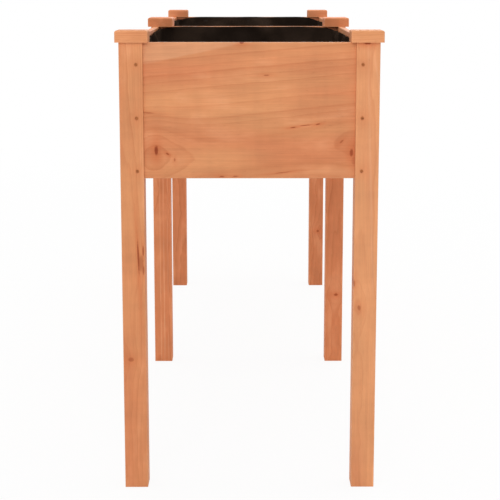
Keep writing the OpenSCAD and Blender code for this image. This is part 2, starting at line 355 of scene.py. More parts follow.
@dataclass(frozen=True)
class YearRings:
    """The pattern that a log's growth and its stain leave in the wood.

    A pair of numbers is how often a noise repeats per metre, along the grain and across it. What is
    counted in rings or years goes from 0 at a ring's inside to 1 at its outside.

    Args:
        sway: The grain's slow wandering.
        waver: Its quick wavering.
        ripple: The ripple of a ring's edge.
        fibre: The fibres.
        pore: The resin pores.
        figure: The shimmer across the grain.
        blotch: The broad blotches of stain.
        cloud: The small clouds of stain.
        waver_by: About twice how far the grain wavers, in metres.
        ripple_by: The same of a ring's edge.
        pace: How often the rings' pace changes per metre outwards.
        pace_by: How many rings it gains or loses.
        bands: How often broad bands of tone change per metre outwards.
        slow: Where in the year the wood starts and ends to darken slowly, and how dark that gets it.
        quick: The same for its quick darkening.
        year_end: Where the dark wood starts to stop.
        weakest: How dark the weakest year is, as a share of the strongest.
        fine_lines: How many fainter lines each year has.
        fine_dark: How dark these are.
        fine_line: Where in its share of the year such a line starts, is darkest and starts to stop.
        pores_open: The strength of the pores' noise where they start to show and where they show fully.
        seed_step: How far apart two seeds lie in the noise.
    """

    sway: tuple[float, float] = (1.7, 4.0)
    waver: tuple[float, float] = (9.0, 26.0)
    ripple: tuple[float, float] = (26.0, 150.0)
    fibre: tuple[float, float] = (8.0, 420.0)
    pore: tuple[float, float] = (95.0, 1500.0)
    figure: tuple[float, float] = (42.0, 7.0)
    blotch: tuple[float, float] = (3.2, 16.0)
    cloud: tuple[float, float] = (11.0, 30.0)
    waver_by: float = 0.006
    ripple_by: float = 0.0012
    pace: float = 38.0
    pace_by: float = 1.8
    bands: float = 22.0
    slow: tuple[float, float, float] = (0.15, 0.8, 0.45)
    quick: tuple[float, float, float] = (0.7, 0.92, 0.55)
    year_end: float = 0.92
    weakest: float = 0.2
    fine_lines: float = 3.0
    fine_dark: float = 0.13
    fine_line: tuple[float, float, float] = (0.3, 0.85, 0.86)
    pores_open: tuple[float, float] = (0.66, 0.78)
    seed_step: Point = (1.31, 0.77, 0.53)

    def late(self, nodes: Nodes, rings: Socket, seed: Socket) -> Socket:
        """How dark the latewood is.

        The wood darkens slowly through each ring, then quickly near its end, where it stops sharply, and
        each year has its own strength. A fainter set of lines runs inside each ring.

        Args:
            nodes: The group's nodes.
            rings: How many rings lie between the log's middle and a point.
            seed: Picks the years' strengths.

        Returns:
            The mask of the latewood.
        """
        year = nodes.math("FLOOR", rings)
        phase = nodes.math("FRACT", rings)
        strength = nodes.add("ShaderNodeTexWhiteNoise", {"W": nodes.math("ADD", year, seed)},
                             noise_dimensions="1D").outputs["Value"]
        slowly, quickly = (nodes.ease(phase, start, end, 0.0, dark)
                           for start, end, dark in (self.slow, self.quick))
        late = nodes.math("MULTIPLY", nodes.math("ADD", slowly, quickly),
                          nodes.ease(phase, self.year_end, 1.0, 1.0, 0.0))
        strength = nodes.math("MULTIPLY_ADD", strength, 1.0 - self.weakest, self.weakest)
        late = nodes.math("MULTIPLY", late, strength)
        start, darkest, stop = self.fine_line
        fine = nodes.math("FRACT", nodes.math("MULTIPLY", rings, self.fine_lines))
        fine = nodes.math("MULTIPLY", nodes.ease(fine, start, darkest),
                          nodes.ease(fine, stop, 1.0, 1.0, 0.0))
        return nodes.math("MULTIPLY_ADD", fine, self.fine_dark, late)

    def group(self) -> bpy.types.NodeTree:
        """Builds the group for year rings and fibres.

        A point's distance from the log's middle line, which noise bends, less the swell of the knots, is
        counted in rings. Fibres, pores, blotches and clouds are noise stretched along the grain, and
        figure is noise across it.

        Returns:
            The node group.
        """
        nodes, given, wanted = start_group(
            "year rings",
            {"Place": "vector", "Pith": "vector", "Slope": "vector", "Ring": "number", "Bend": "number",
             "Swell": "number", "Seed": "number"},
            {"Late": "number", "Bands": "number", "Fibre": "number", "Pores": "number", "Figure": "number",
             "Blotch": "number", "Cloud": "number"})
        place = nodes.vector("ADD", given["Place"], nodes.scaled(self.seed_step, given["Seed"]))
        along, _, _ = nodes.split(given["Place"])
        line = nodes.vector("ADD", given["Pith"], nodes.scaled(given["Slope"], along))
        offset = nodes.vector("SUBTRACT", given["Place"], line)
        offset = nodes.vector("ADD", offset, nodes.drift(nodes.grained(place, *self.sway), given["Bend"]))
        waver = nodes.drift(nodes.grained(place, *self.waver), self.waver_by, detail=2.0)
        offset = nodes.vector("ADD", offset, waver)
        distance = nodes.length(nodes.vector("MULTIPLY", offset, (0.0, 1.0, 1.0)))
        distance = nodes.math("SUBTRACT", distance, given["Swell"])
        ripple = nodes.math("SUBTRACT", nodes.noise(nodes.grained(place, *self.ripple), 1.0, 2.0), 0.5)
        distance = nodes.math("MULTIPLY_ADD", ripple, self.ripple_by, distance)
        outwards = nodes.math("ADD", distance, given["Seed"])
        rings = nodes.math("DIVIDE", distance, given["Ring"])
        rings = nodes.math("MULTIPLY_ADD", nodes.line_noise(outwards, self.pace), self.pace_by, rings)
        pores = nodes.noise(nodes.grained(place, *self.pore), 1.0, 1.0)
        nodes.put({
            "Late": self.late(nodes, rings, given["Seed"]),
            "Bands": nodes.line_noise(outwards, self.bands),
            "Fibre": nodes.noise(nodes.grained(place, *self.fibre), 1.0, 4.0, 0.65),
            "Pores": nodes.ease(pores, *self.pores_open),
            "Figure": nodes.noise(nodes.grained(place, *self.figure), 1.0, 2.0),
            "Blotch": nodes.noise(nodes.grained(place, *self.blotch), 1.0, 2.0),
            "Cloud": nodes.noise(nodes.grained(place, *self.cloud), 1.0, 3.0, 0.55)}, wanted)
        return nodes.tree


def knot_group() -> bpy.types.NodeTree:
    """Builds the group for one knot.

    Its distance from a point is that in the face, each way over the knot's half size, less even with
    noise. Core is full inside it, Halo is a bell that fades out over a few sizes round it, and Swell is
    a wider bell that the year rings give way to.

    Returns:
        The node group.
    """
    ragged_often, ragged_by = 260.0, 0.55
    core_inside, core_outside = 0.5, 1.25
    halo_fade, swell_fade = -0.09, -0.02
    nodes, given, wanted = start_group(
        "knot",
        {"Place": "vector", "Middle": "vector", "Long Way": "vector", "Short Way": "vector",
         "Dark": "number", "Push": "number"},
        {"Core": "number", "Halo": "number", "Swell": "number"})
    away = nodes.vector("SUBTRACT", given["Place"], given["Middle"])
    sizes = nodes.joined(nodes.dot(away, given["Long Way"]), nodes.dot(away, given["Short Way"]), 0.0)
    ragged = nodes.drift(nodes.scaled(given["Place"], ragged_often), ragged_by, detail=2.0)
    sizes = nodes.length(nodes.vector("ADD", sizes, nodes.vector("MULTIPLY", ragged, (1.0, 1.0, 0.0))))
    core = nodes.ease(sizes, core_inside, core_outside, 1.0, 0.0)
    square = nodes.math("MULTIPLY", sizes, sizes)
    halo = nodes.math("EXPONENT", nodes.math("MULTIPLY", square, halo_fade))
    swell = nodes.math("EXPONENT", nodes.math("MULTIPLY", square, swell_fade))
    nodes.put({
        "Core": nodes.math("MULTIPLY", core, given["Dark"]),
        "Halo": nodes.math("MULTIPLY", halo, given["Dark"]),
        "Swell": nodes.math("MULTIPLY", swell, given["Push"])}, wanted)
    return nodes.tree


def edge_group() -> bpy.types.NodeTree:
    """Builds the group that finds a piece's long edges and its end grain.

    Of a point's three distances inside the piece's box, the middle one is small only near an edge,
    where two faces meet. End grain is where the face looks along the grain.

    Returns:
        The node group.
    """
    wear_often, wear_by = 60.0, 0.0022
    worn_inside, worn_outside = 0.0004, 0.0026
    side_grain, end_grain = 0.6, 0.95
    nodes, given, wanted = start_group(
        "eased edges", {"Place": "vector", "Half Size": "vector", "Facing": "vector", "Grain": "vector"},
        {"Edge": "number", "End": "number"})
    inside = nodes.vector("SUBTRACT", given["Half Size"], nodes.vector("ABSOLUTE", given["Place"]))
    a, b, c = nodes.split(inside)
    larger = nodes.math("MAXIMUM", a, b)
    middle = nodes.math("MAXIMUM", nodes.math("MINIMUM", a, b), nodes.math("MINIMUM", larger, c))
    wear = nodes.math("SUBTRACT", nodes.noise(nodes.scaled(given["Place"], wear_often), 1.0, 3.0), 0.5)
    middle = nodes.math("MULTIPLY_ADD", wear, wear_by, middle)
    facing = nodes.math("ABSOLUTE", nodes.dot(given["Facing"], given["Grain"]))
    nodes.put({"Edge": nodes.ease(middle, worn_inside, worn_outside, 1.0, 0.0),
               "End": nodes.ease(facing, side_grain, end_grain)}, wanted)
    return nodes.tree


def unevenness(nodes: Nodes, place: Socket) -> Socket:
    """How far a line between two woods strays across the grain, by noise.

    Args:
        nodes: The group's nodes.
        place: A point's coordinates along, through and across the piece.

    Returns:
        The length, in metres.
    """
    often_along, often_across, stray = 14.0, 60.0, 0.006
    noise = nodes.noise(nodes.grained(place, often_along, often_across), 1.0, 3.0)
    return nodes.math("MULTIPLY", nodes.math("SUBTRACT", noise, 0.5), stray)


def sapwood_group() -> bpy.types.NodeTree:
    """Builds the group for sapwood, which is past a slanting line that noise makes uneven.

    Across is the way across the grain, leaning by the line's slope.

    Returns:
        The node group.
    """
    before, after = -0.003, 0.001
    nodes, given, wanted = start_group(
        "sapwood", {"Place": "vector", "Across": "vector", "Start": "number", "Strength": "number"},
        {"Pale": "number"})
    past = nodes.math("ADD", nodes.dot(given["Place"], given["Across"]), unevenness(nodes, given["Place"]))
    past = nodes.math("SUBTRACT", past, given["Start"])
    nodes.put({"Pale": nodes.math("MULTIPLY", nodes.ease(past, before, after), given["Strength"])}, wanted)
    return nodes.tree


def streak_group() -> bpy.types.NodeTree:
    """Builds the group for a pale streak.

    It fades with the distance from a line that leans as Across does and strays a little, and a noise
    along the grain makes it come and go.

    Returns:
        The node group.
    """
    stray, often, faintest = 0.4, 9.0, 0.4
    faint_below, whole_above = 0.3, 0.6
    nodes, given, wanted = start_group(
        "pale streak",
        {"Place": "vector", "Across": "vector", "Middle": "number", "Width": "number", "Seed": "number",
         "Strength": "number"},
        {"Pale": "number"})
    away = nodes.math("MULTIPLY_ADD", unevenness(nodes, given["Place"]), stray,
                      nodes.dot(given["Place"], given["Across"]))
    away = nodes.math("ABSOLUTE", nodes.math("SUBTRACT", away, given["Middle"]))
    along, _, _ = nodes.split(given["Place"])
    strength = nodes.line_noise(nodes.math("ADD", along, given["Seed"]), often)
    line = nodes.math("MULTIPLY", nodes.ease(away, 0.0, given["Width"], 1.0, 0.0),
                      nodes.ease(strength, faint_below, whole_above, faintest))
    nodes.put({"Pale": nodes.math("MULTIPLY", line, given["Strength"])}, wanted)
    return nodes.tree


@dataclass(frozen=True)
class StainedFir:
    """Planed fir under a warm orange-brown stain.

    Args:
        honey: The stain on plain wood.
        rose: Its redder hue, in patches.
        late: The latewood lines.
        knot: The middle of a knot.
        halo: The wood close round a knot.
        pale: The stain on sapwood.
        worn_and_highlit: The rubbed edges, paler partly from wear and partly as a painted highlight on the
            eased edges.
        light: How light the wood is, as a share of these colours.
        shades: How much each noise, which is about 0.5, changes that.
        rose_patches: The strength of the blotches where its redder hue starts to show and is full.
        dry_clouds: The strength of the clouds where the pale colour starts to show and is full.
        pore_dark: How much darker a pore is.
        end_dark: How much darker end grain is.
        halo_share: How much of its own colour shows close round a knot.
        worn_and_highlit_share: How much of the rubbed colour, with its painted highlight, shows along an
            edge.
        dry_share: How much of the pale colour shows in the lightest clouds.
        roughness: How matt it is.
        fibre_shine: How much smoother a fibre is than the wood between.
        end_matt: How much rougher end grain is.
        specular: How strongly its surface reflects.
        relief: Height of the fibres' relief, in metres.
        late_height: How high the latewood stands, as a share of that.
        pore_depth: How deep a pore is, as the same share.
        knot_depth: How deep a knot lies, as the same share.
    """

    honey: Colour = screen_colour(219, 148, 98)
    rose: Colour = screen_colour(211, 131, 86)
    late: Colour = screen_colour(186, 102, 58)
    knot: Colour = screen_colour(142, 54, 8)
    halo: Colour = screen_colour(195, 95, 46)
    pale: Colour = screen_colour(226, 162, 119)
    worn_and_highlit: Colour = screen_colour(232, 168, 118)
    light: float = 0.99
    shades: tuple[tuple[str, float], ...] = (
        ("Bands", 0.16), ("Fibre", 0.26), ("Figure", 0.16), ("Cloud", 0.36))
    rose_patches: tuple[float, float] = (0.3, 0.7)
    dry_clouds: tuple[float, float] = (0.5, 0.72)
    pore_dark: float = 0.1
    end_dark: float = 0.12
    halo_share: float = 0.6
    worn_and_highlit_share: float = 0.28
    dry_share: float = 0.3
    roughness: float = 0.58
    fibre_shine: float = 0.16
    end_matt: float = 0.2
    specular: float = 0.28
    relief: float = 0.00025
    late_height: float = 0.35
    pore_depth: float = 0.6
    knot_depth: float = 0.8

    def hue(self, nodes: Nodes, given: Sockets) -> Socket:
        """Mixes the wood's colours by its masks, before light and shade.

        Args:
            nodes: The group's nodes.
            given: The masks.

        Returns:
            The colour.
        """
        patch = nodes.math("ADD", given["Blotch"], nodes.math("SUBTRACT", given["Rose"], 0.5))
        colour = nodes.blend(nodes.ease(patch, *self.rose_patches), self.honey, self.rose)
        dry = nodes.ease(given["Cloud"], *self.dry_clouds, 0.0, self.dry_share)
        colour = nodes.blend(nodes.math("MAXIMUM", given["Pale"], dry), colour, self.pale)
        colour = nodes.blend(nodes.math("MULTIPLY", given["Late"], given["Contrast"]), colour, self.late)
        colour = nodes.blend(nodes.math("MULTIPLY", given["Halo"], self.halo_share), colour, self.halo)
        # Paler edges: partly rubbed wear, partly a painted highlight where light would catch the eased
        # edges.
        colour = nodes.blend(nodes.math("MULTIPLY", given["Edge"], self.worn_and_highlit_share), colour, self.worn_and_highlit)
        return nodes.blend(given["Core"], colour, self.knot)

    def colour_group(self) -> bpy.types.NodeTree:
        """Builds the group that turns the wood's masks into its colour, roughness and height.

        Its fibres stand up and make it smoother, latewood stands up too, and pores and knots lie lower.

        Returns:
            The node group.
        """
        numbers = ("Late", "Bands", "Fibre", "Pores", "Figure", "Blotch", "Cloud", "Core", "Halo", "End",
                   "Edge", "Pale", "Tone", "Rose", "Contrast")
        nodes, given, wanted = start_group(
            "stained fir", {name: "number" for name in numbers},
            {"Colour": "colour", "Roughness": "number", "Height": "number"})
        light = nodes.math("ADD", given["Tone"], self.light)
        for name, share in self.shades:
            light = nodes.math("MULTIPLY_ADD", nodes.math("SUBTRACT", given[name], 0.5), share, light)
        light = nodes.math("MULTIPLY_ADD", given["Pores"], -self.pore_dark, light)
        light = nodes.math("MULTIPLY_ADD", given["End"], -self.end_dark, light)
        rough = nodes.math("MULTIPLY_ADD", given["Fibre"], -self.fibre_shine,
                           self.roughness + self.fibre_shine / 2)
        height = nodes.math("MULTIPLY_ADD", given["Late"], self.late_height, given["Fibre"])
        height = nodes.math("MULTIPLY_ADD", given["Pores"], -self.pore_depth, height)
        nodes.put({
            "Colour": nodes.scaled(self.hue(nodes, given), light),
            "Roughness": nodes.math("MULTIPLY_ADD", given["End"], self.end_matt, rough),
            "Height": nodes.math("MULTIPLY_ADD", given["Core"], -self.knot_depth, height)}, wanted)
        return nodes.tree


class Timber:
    """Makes the material of each wooden piece out of shared node groups."""

    def __init__(self, finish: StainedFir) -> None:
        """Builds the shared groups.

        Args:
            finish: The finish of all the pieces.
        """
        self.finish = finish
        self.rings = YearRings().group()
        self.knot = knot_group()
        self.edges = edge_group()
        self.sapwood = sapwood_group()
        self.streak = streak_group()
        self.colours = finish.colour_group()

    def dress(self, node: str, cut: Cut) -> bpy.types.Object:
        """Gives a wooden piece its own material.

        Object coordinates are turned so that the first runs along the grain, with the piece's middle
        at the origin. The knots' swells are summed before the rings are counted.

        Args:
            node: The piece's name in the frame.
            cut: How it was sawn.

        Returns:
            The piece.
        """
        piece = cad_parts[node]
        low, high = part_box(node)
        turn = cut.grain.turn()
        middle = turn @ ((low + high) / 2)
        half = turn @ ((high - low) / 2)
        material, nodes = start_material(f"fir_{node}")
        source = nodes.add("ShaderNodeTexCoord").outputs
        place = nodes.add("ShaderNodeMapping", {
            "Vector": source["Object"], "Location": tuple(-middle),
            "Rotation": tuple(turn.to_euler())}).outputs[0]
        swell, core, halo = self.knot_masks(nodes, place, cut, middle)
        rings = nodes.use(self.rings, {
            "Place": place, "Pith": (0.0, cut.pith[0] * MM, cut.pith[1] * MM), "Ring": cut.ring * MM,
            "Slope": (0.0, *cut.slope), "Bend": cut.bend * MM, "Swell": swell, "Seed": float(cut.seed)})
        edges = nodes.use(self.edges, {
            "Place": place, "Half Size": tuple(abs(part) for part in half), "Facing": source["Normal"],
            "Grain": tuple(turn[0])})
        looks = nodes.use(self.colours, {
            **dict(rings.items()), **dict(edges.items()), "Core": core, "Halo": halo,
            "Pale": self.pale_mask(nodes, place, cut), "Tone": cut.tone, "Rose": cut.rose,
            "Contrast": cut.contrast})
        bump = nodes.add("ShaderNodeBump", {"Height": looks["Height"], "Strength": 1.0,
                                            "Distance": self.finish.relief}).outputs[0]
        shader = nodes.add("ShaderNodeBsdfPrincipled", {
            "Base Color": looks["Colour"], "Roughness": looks["Roughness"], "Normal": bump,
            "Specular IOR Level": self.finish.specular})
        nodes.add("ShaderNodeOutputMaterial", {"Surface": shader.outputs[0]})
        put_on(piece, material)
        LOG.info("%s: fir, %d knots", node, len(cut.knots))
        return piece

    def knot_masks(self, nodes: Nodes, place: Socket, cut: Cut, middle: Vector) -> tuple[Feed, Feed, Feed]:
        """The masks of all the knots in a piece.

        Args:
            nodes: The material's nodes.
            place: A point's coordinates along, through and across the piece.
            cut: How the piece was sawn.
            middle: The piece's middle, turned as the place is.

        Returns:
            The sum of the knots' swells, and the strongest of their cores and of their halos.
        """
        swell, core, halo = 0.0, 0.0, 0.0
        for knot in cut.knots:
            spot = cut.grain.turn() @ (Vector(knot.at) * MM) - middle
            long_way, short_way = knot.ways()
            one = nodes.use(self.knot, {
                "Place": place, "Middle": tuple(spot), "Long Way": long_way, "Short Way": short_way,
                "Dark": knot.dark, "Push": knot.swell * MM})
            swell = nodes.math("ADD", one["Swell"], swell)
            core = nodes.math("MAXIMUM", one["Core"], core)
            halo = nodes.math("MAXIMUM", one["Halo"], halo)
        return swell, core, halo

    def pale_mask(self, nodes: Nodes, place: Socket, cut: Cut) -> Feed:
        """The mask of a piece's paler wood.

        Args:
            nodes: The material's nodes.
            place: A point's coordinates along, through and across the piece.
            cut: How the piece was sawn.

        Returns:
            The strongest of its sapwood and its streaks, or 0 without them.
        """
        pale = 0.0
        if cut.sapwood:
            pale = nodes.use(self.sapwood, {
                "Place": place, "Across": (-cut.sapwood.slope, 0.0, 1.0), "Start": cut.sapwood.start * MM,
                "Strength": cut.sapwood.pale})["Pale"]
        for streak in cut.streaks:
            line = nodes.use(self.streak, {
                "Place": place, "Across": (-streak.slope, 0.0, 1.0), "Middle": streak.at * MM,
                "Width": streak.width * MM, "Seed": streak.at, "Strength": streak.pale})["Pale"]
            pale = nodes.math("MAXIMUM", line, pale)
        return pale


def put_on(piece: bpy.types.Object, material: bpy.types.Material) -> None:
    """Makes a material the only one on a piece.

    Args:
        piece: The piece, whose mesh stays as it is.
        material: The material, which goes into each of its slots.
    """
    if not piece.data.materials:
        piece.data.materials.append(material)
    for index in range(len(piece.data.materials)):
        piece.data.materials[index] = material


@dataclass
class Woodwork:
    """The legs, caps, boards, cleats and slats.

    Args:
        timber: Makes their materials.
        rows: The rows that the legs stand in.
        beds: The two beds.
        sides: The two sides.
        slats: How many floor slats a bed has.
        head_stain: Half the height and half the width of the stain round a screw's head, in
            millimetres, and how dark it is.
    """

    timber: Timber
    rows: tuple[str, ...] = ("front", "middle", "rear")
    beds: tuple[str, ...] = ("front", "rear")
    sides: tuple[str, ...] = ("left", "right")
    slats: int = 8
    head_stain: tuple[float, float, float] = (4.4, 3.6, 0.32)

    def stains(self, node: str) -> tuple[Knot, ...]:
        """The stain that has gathered round the sunk heads of the end boards' screws in a leg.

        It shows as a faint knot at each head would, and bends no grain.

        Args:
            node: The leg's name in the frame.

        Returns:
            The knots, which are none for a middle leg.
        """
        screws = read_points(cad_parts["end_board_screws"].data)
        low, high = (np.array(corner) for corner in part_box(node))
        heads = screws[np.all((screws > low) & (screws < high), axis=1)]
        heads[:, 1] = low[1]
        return tuple(Knot(tuple(head), *self.head_stain, 0.0) for head in middles(heads) / MM)

    def dress_legs(self) -> None:
        """Dresses the six legs, with the knots that show on them."""
        spots = {
            "leg_front_left": (
                Knot((-190.5, -794, 414), 30, 1.5, 0.85, 3.0, lean=2.0),
                Knot((-182, -794, 425), 10, 1.5, 0.7, 1.0), Knot((-182, -794, 392), 9, 1.6, 0.6, 1.0),
                Knot((-186, -794, 404), 15, 5, 0.4, 3.0), Knot((-205.5, -794, 233), 4, 5, 0.5, 2.5)),
            "leg_front_right": (
                # The first is a dark patch at the leg's top, just under the cap's edge, drawn as a knot.
                Knot((197, -794, 779), 2.5, 6, 0.9, 2.0), Knot((180, -794, 368), 7, 2, 0.5, 2.0),
                Knot((189, -794, 325), 5, 3, 0.5, 5.0, lean=12.0)),
            "leg_middle_right": (Knot((204, -20, 160), 3, 5, 0.75, 3.0),),
            "leg_rear_right": (Knot((204, 754, 162), 3, 4, 0.75, 3.0),),
            "leg_middle_left": (Knot((-219, 6, 610), 6, 4, 0.7, 3.0),),
            "leg_rear_left": (Knot((-219, 770, 330), 5, 3, 0.7, 3.0),),
        }
        # Partly painted light and shade: the middle and rear legs get a lighter tone and a redder hue than
        # the front ones, copying how the light falling off towards the back shows them, besides their own
        # tone.
        tones_with_painted_light = {
            "leg_front_left": (-0.04, 0.5), "leg_front_right": (-0.01, 0.35),
            "leg_middle_left": (0.1, 0.65), "leg_middle_right": (0.09, 0.95),
            "leg_rear_left": (0.04, 0.75), "leg_rear_right": (0.05, 1.0),
        }
        pale = {"leg_front_right": Sapwood(-40.0, 0.0, 0.2)}
        streaks = {
            "leg_front_right": (Streak(-74.0, 4.0, 0.7, slope=0.176),
                                Streak(-12.2, 4.5, 0.7, slope=0.034)),
            "leg_middle_left": (Streak(5.3, 2.0, 0.7), Streak(-3.0, 2.0, 0.95), Streak(-12.0, 2.0, 0.6)),
        }
        for index, (row, side) in enumerate((r, s) for r in self.rows for s in self.sides):
            node = f"leg_{row}_{side}"
            tone, rose = tones_with_painted_light[node]
            pith = (38.0 + 9 * index, 24.0 - 11 * index)
            cut = Cut(Grain.LEG, pith, ring=4.6 - 0.3 * index, seed=11 + index, bend=10.0,
                      slope=(0.012, -0.015), tone=tone, rose=rose,
                      contrast=0.34 if row == "front" else 0.5,
                      knots=spots[node] + self.stains(node), sapwood=pale.get(node),
                      streaks=streaks.get(node, ()))
            self.timber.dress(node, cut)

    def dress_caps(self) -> None:
        """Dresses the six caps. The middle ones' grain runs along the planter."""
        # Partly painted light and shade: the middle and rear caps get a lighter tone and a redder hue than
        # the front ones, copying how the light falling off towards the back shows them, besides their own
        # tone.
        tones_with_painted_light = {"front_left": (0.01, 0.4), "front_right": (0.01, 0.4), "middle_left": (0.11, 0.95),
                 "middle_right": (0.16, 0.85), "rear_left": (0.03, 0.8), "rear_right": (0.04, 0.8)}
        for index, (row, side) in enumerate((r, s) for r in self.rows for s in self.sides):
            grain = Grain.FLAT_LENGTHWISE if row == "middle" else Grain.FLAT_ACROSS
            tone, rose = tones_with_painted_light[f"{row}_{side}"]
            pith = (-34.0 - 5 * index, 12.0 - 6 * index)
            cut = Cut(grain, pith, ring=3.6, seed=31 + index, bend=4.0, tone=tone, rose=rose)
            self.timber.dress(f"cap_{row}_{side}", cut)

    def dress_boards(self) -> None:
        """Dresses the end boards, the divider and the side boards."""
        front_knots = (
            Knot((-168, -782, 600), 9, 9, 0.0, 18.0), Knot((196, -782, 604), 8, 7, 0.0, 5.0),
            Knot((-158, -782, 598), 3.2, 9, 0.92, 6.0),
            Knot((-139, -782, 592), 3.5, 1.4, 0.75, 1.0, lean=-30.0),
            Knot((-127, -782, 582), 1.5, 3, 0.5, 1.0), Knot((173, -782, 594), 3.2, 7, 0.75, 4.0),
            Knot((181, -782, 580), 8, 9, 0.25, 2.0), Knot((156, -782, 613), 4.5, 1.5, 0.5, 1.0, lean=45.0),
            Knot((-13, -782, 780), 4, 2.5, 0.9, 1.0), Knot((28, -782, 725), 5, 1.2, 0.55, 0.5),
            Knot((-172, -782, 662), 12, 1.6, 0.45, 0.5, lean=-4.0),
            Knot((74, -782, 637), 5, 0.8, 0.85, 0.3, lean=8.0),
            Knot((94, -782, 640.5), 11, 0.6, 0.8, 0.3, lean=6.0),
            Knot((116, -782, 642.5), 4, 1.0, 0.9, 0.3, lean=10.0),
            Knot((57, -782, 560), 16, 0.8, 0.5, 0.3, lean=7.0),
            Knot((-47, -782, 553), 4, 1.2, 0.7, 0.3), Knot((-24, -782, 553.5), 5, 1.0, 0.6, 0.3),
        )
        self.timber.dress("end_board_front", Cut(
            Grain.BOARD_ACROSS, pith=(50.0, -72.0), ring=13.0, seed=3, bend=9.0, slope=(0.0, 0.1),
            contrast=0.34, tone=-0.05, knots=front_knots, sapwood=Sapwood(117.0, 0.21, 0.55)))
        self.timber.dress("end_board_rear", Cut(
            Grain.BOARD_ACROSS, pith=(-70.0, 30.0), ring=9.0, seed=8, bend=20.0,
            knots=(Knot((92, 782, 700), 5, 8, 0.9, 14.0), Knot((-120, 782, 590), 3, 4, 0.7, 6.0))))
        # The divider's darker tone is painted shade, copied from its shaded top edge.
        self.timber.dress("divider_board", Cut(
            Grain.BOARD_ACROSS, pith=(80.0, -20.0), ring=7.5, seed=13, bend=18.0, tone=-0.16))
        side_knots = {
            "side_board_front_left": (
                Knot((-213, -560, 610), 6, 8, 0.9, 12.0), Knot((-213, -180, 712), 5, 4, 0.8, 6.0)),
            "side_board_front_right": (
                Knot((213, -330, 726), 7, 9, 0.9, 12.0), Knot((213, -640, 600), 4, 5, 0.8, 6.0)),
            "side_board_rear_left": (Knot((-213, 250, 620), 7, 8, 0.9, 12.0),),
            "side_board_rear_right": (
                Knot((213, 520, 640), 6, 9, 0.9, 12.0), Knot((213, 150, 745), 4, 4, 0.7, 5.0)),
        }
        sapwoods = {"side_board_front_left": Sapwood(78.0, 0.03, 0.5),
                    "side_board_rear_right": Sapwood(66.0, -0.04, 0.5)}
        for index, (node, knots) in enumerate(side_knots.items()):
            pith = (70.0 - 40 * index, -60.0 + 35 * index)
            self.timber.dress(node, Cut(
                Grain.BOARD_LENGTHWISE, pith, ring=8.0, seed=51 + index, bend=34.0,
                slope=(0.0, 0.03 - 0.02 * index), knots=knots, sapwood=sapwoods.get(node)))

    def dress_floor(self) -> None:
        """Dresses the cleats and the floor slats."""
        for index, (row, side) in enumerate((r, s) for r in self.beds for s in self.sides):
            self.timber.dress(f"cleat_{row}_{side}", Cut(
                Grain.BOARD_LENGTHWISE, pith=(30.0, 20.0 + 12 * index), ring=4.0, seed=71 + index,
                bend=8.0))
        for index, (row, i) in enumerate((r, n) for r in self.beds for n in range(self.slats)):
            self.timber.dress(f"floor_slat_{row}_{i + 1}", Cut(
                Grain.FLAT_ACROSS, pith=(50.0 + 3 * index, -30.0 + 9 * i), ring=5.0, seed=91 + index,
                bend=12.0))

    def dress(self) -> None:
        """Dresses all the wooden pieces."""
        self.dress_legs()
        self.dress_caps()
        self.dress_boards()
        self.dress_floor()


def coat_group() -> bpy.types.NodeTree:
    """Builds the group for a thin coat on steel, with soft patches of dulling and fine scratches by noise.

    Returns:
        The node group.
    """
    patches_often, scratches_often = 450.0, (2600.0, 500.0, 2600.0)
    dull_from, dull_to = 0.42, 0.62
    uneven, smoother = 0.25, 0.1
    nodes, given, wanted = start_group(
        "dulled coat", {"Place": "vector", "Clean": "colour", "Dull": "colour", "Matt": "number"},
        {"Colour": "colour", "Roughness": "number", "Height": "number"})
    patches = nodes.noise(given["Place"], patches_often, 3.0)
    smoothest = nodes.math("SUBTRACT", given["Matt"], smoother)
    nodes.put({
        "Colour": nodes.blend(nodes.ease(patches, dull_from, dull_to), given["Clean"], given["Dull"]),
        "Roughness": nodes.math("MULTIPLY_ADD", patches, uneven, smoothest),
        "Height": nodes.noise(nodes.vector("MULTIPLY", given["Place"], scratches_often), 1.0, 2.0)}, wanted)
    return nodes.tree


@dataclass(frozen=True)
class CoatedSteel:
    """Steel with a thin coat, such as bronze screws or black wire.

    Args:
        name: The material's name.
        colour: The coat's colour.
        dull: Its colour where it has dulled.
        metallic: How much of it shines as metal.
        roughness: How matt it is where it is clean.
        relief: Depth of its scratches, in metres.
    """

    name: str
    colour: Colour
    dull: Colour
    metallic: float
    roughness: float
    relief: float = 0.00002

    def material(self, coat: bpy.types.NodeTree) -> bpy.types.Material:
        """Builds the material.

        Args:
            coat: The group for its coat.

        Returns:
            The material.
        """
        material, nodes = start_material(self.name)
        place = nodes.add("ShaderNodeTexCoord").outputs["Object"]
        looks = nodes.use(coat, {
            "Place": place, "Clean": self.colour, "Dull": self.dull, "Matt": self.roughness})
        bump = nodes.add("ShaderNodeBump", {"Height": looks["Height"], "Distance": self.relief}).outputs[0]
        shader = nodes.add("ShaderNodeBsdfPrincipled", {
            "Base Color": looks["Colour"], "Metallic": self.metallic, "Roughness": looks["Roughness"],
            "Normal": bump})
        nodes.add("ShaderNodeOutputMaterial", {"Surface": shader.outputs[0]})
        return material


@dataclass
class Fasteners:
    """The screws, nails and staples.

    Args:
        screws: The names of the screws and nails in the frame.
        staples: Those of the staples.
    """

    screws: tuple[str, ...] = (
        "end_board_screws", "side_board_screws", "divider_screws", "cap_screws", "cleat_screws",
        "slat_nails")
    staples: tuple[str, ...] = ("liner_staples",)

    def dress(self) -> None:
        """Coats the screws and nails bronze, and the staples black."""
        coat = coat_group()
        bronze = CoatedSteel("bronze_screws", screen_colour(174, 104, 52), screen_colour(138, 78, 38),
                             metallic=0.5, roughness=0.45)
        black = CoatedSteel("black_wire", screen_colour(28, 26, 24), screen_colour(46, 43, 40),
                            metallic=0.2, roughness=0.5)
        for names, finish in ((self.screws, bronze), (self.staples, black)):
            material = finish.material(coat)
            for node in names:
                put_on(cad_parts[node], material)
                LOG.info("%s: %s", node, finish.name)


